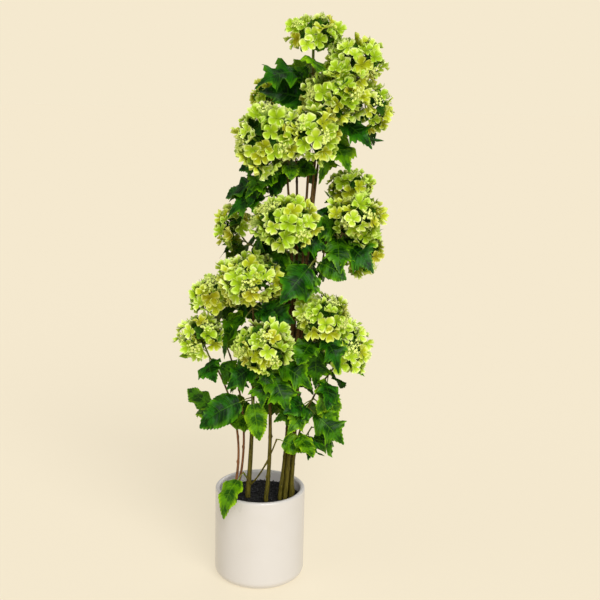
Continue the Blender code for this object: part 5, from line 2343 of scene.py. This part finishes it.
# ------ studio
@dataclass
class Studio:
    """The floor, the light and the camera.

    Args:
        eye: Where the camera stands.
        look_down: How far it looks down, in degrees.
        roll: How far it is rolled, in degrees.
        lens: Its focal length in millimetres.
        backdrop: The colour behind the plant.
        floor: The colour of the floor.
        floor_glow: The strength of the floor's own light, in the backdrop's colour.
        sky: The colour of the soft light from all sides.
        sky_strength: The strength of that light.
        lamps: Name, place, strength and angle in degrees of each sun.
    """

    eye: Point = (0.06, -1.577, 0.819)
    look_down: float = 12.28
    roll: float = 1.27
    lens: float = 60.0
    backdrop: Colour = (0.913, 0.815, 0.624)
    floor: Colour = (0.31, 0.278, 0.217)
    floor_glow: float = 0.667
    sky: Colour = (1.0, 0.96, 0.89)
    sky_strength: float = 0.3
    lamps: tuple[tuple[str, Point, float, float], ...] = (
        ("key_light", (0.32, -0.85, 0.66), 2.75, 40.0),
        ("fill_light", (-0.8, -0.5, 0.5), 0.35, 50.0),
        ("back_light", (0.25, 0.8, 0.9), 0.5, 40.0),
    )

    def add_floor(self) -> None:
        """A wide plain floor."""
        shape = bmesh.new()
        bmesh.ops.create_grid(shape, x_segments=2, y_segments=2, size=30)
        mesh = finish_shape(shape, "studio_floor", 0)
        material, graph, shader = new_material("floor_paper", 1.0)
        graph.fill(
            shader, Base_Color=self.floor, Specular_IOR_Level=0.0, Emission_Color=self.backdrop,
            Emission_Strength=self.floor_glow)
        mesh.materials.append(material)
        floor = stand("studio_floor", mesh)
        floor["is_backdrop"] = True

    def add_world(self) -> None:
        """A plain backdrop for the camera, and soft light from all sides."""
        world = bpy.data.worlds.new("studio")
        world.use_nodes = True
        graph = Graph(world.node_tree)
        world.node_tree.nodes.clear()
        light = graph.add("Background", self.sky, self.sky_strength).outputs[0]
        seen = graph.add("Background", self.backdrop, 1.0).outputs[0]
        camera = graph.add("LightPath").outputs["Is Camera Ray"]
        graph.add("OutputWorld", graph.add("MixShader", camera, light, seen).outputs[0])
        bpy.context.scene.world = world

    def add_lamps(self) -> None:
        """Broad suns from the front, the side and behind."""
        for name, place, energy, angle in self.lamps:
            light = bpy.data.lights.new(name, "SUN")
            light.energy = energy
            light.angle = math.radians(angle)
            lamp = stand(name, light)
            lamp.location = place
            lamp.rotation_euler = Vector(place).to_track_quat("Z", "Y").to_euler()

    def add_camera(self) -> None:
        """The camera, a little above the plant's middle."""
        data = bpy.data.cameras.new("camera")
        data.lens = self.lens
        camera = stand("camera", data)
        tilt = Matrix.Rotation(math.radians(90 - self.look_down), 4, "X")
        roll = Matrix.Rotation(math.radians(self.roll), 4, "Z")
        camera.matrix_world = Matrix.Translation(self.eye) @ tilt @ roll
        bpy.context.scene.camera = camera

    def dress(self) -> None:
        """Set up the whole studio."""
        self.add_floor()
        self.add_world()
        self.add_lamps()
        self.add_camera()
        bpy.context.scene.view_settings.view_transform = "Standard"


def write_sizes() -> None:
    """Put the CAD box and the visual model's box into plain lists, which nothing writes or uses."""
    boxes = {"cad": cad_box, "visual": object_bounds()}
    plain = {name: [[float(part) for part in corner] for corner in box] for name, box in boxes.items()}


def main() -> None:
    """Build the studio and the plant, piece by piece."""
    logging.basicConfig(level=logging.INFO, format="%(name)s: %(message)s")
    crown = Crown()
    for part in (Studio(), Pot(), Soil(), Bark(), Stems(), Leaves(crown), Blossom(crown), Buds()):
        LOG.info("building %s", type(part).__name__)
        part.dress()
    write_sizes()


if __name__ == "__main__":
    main()
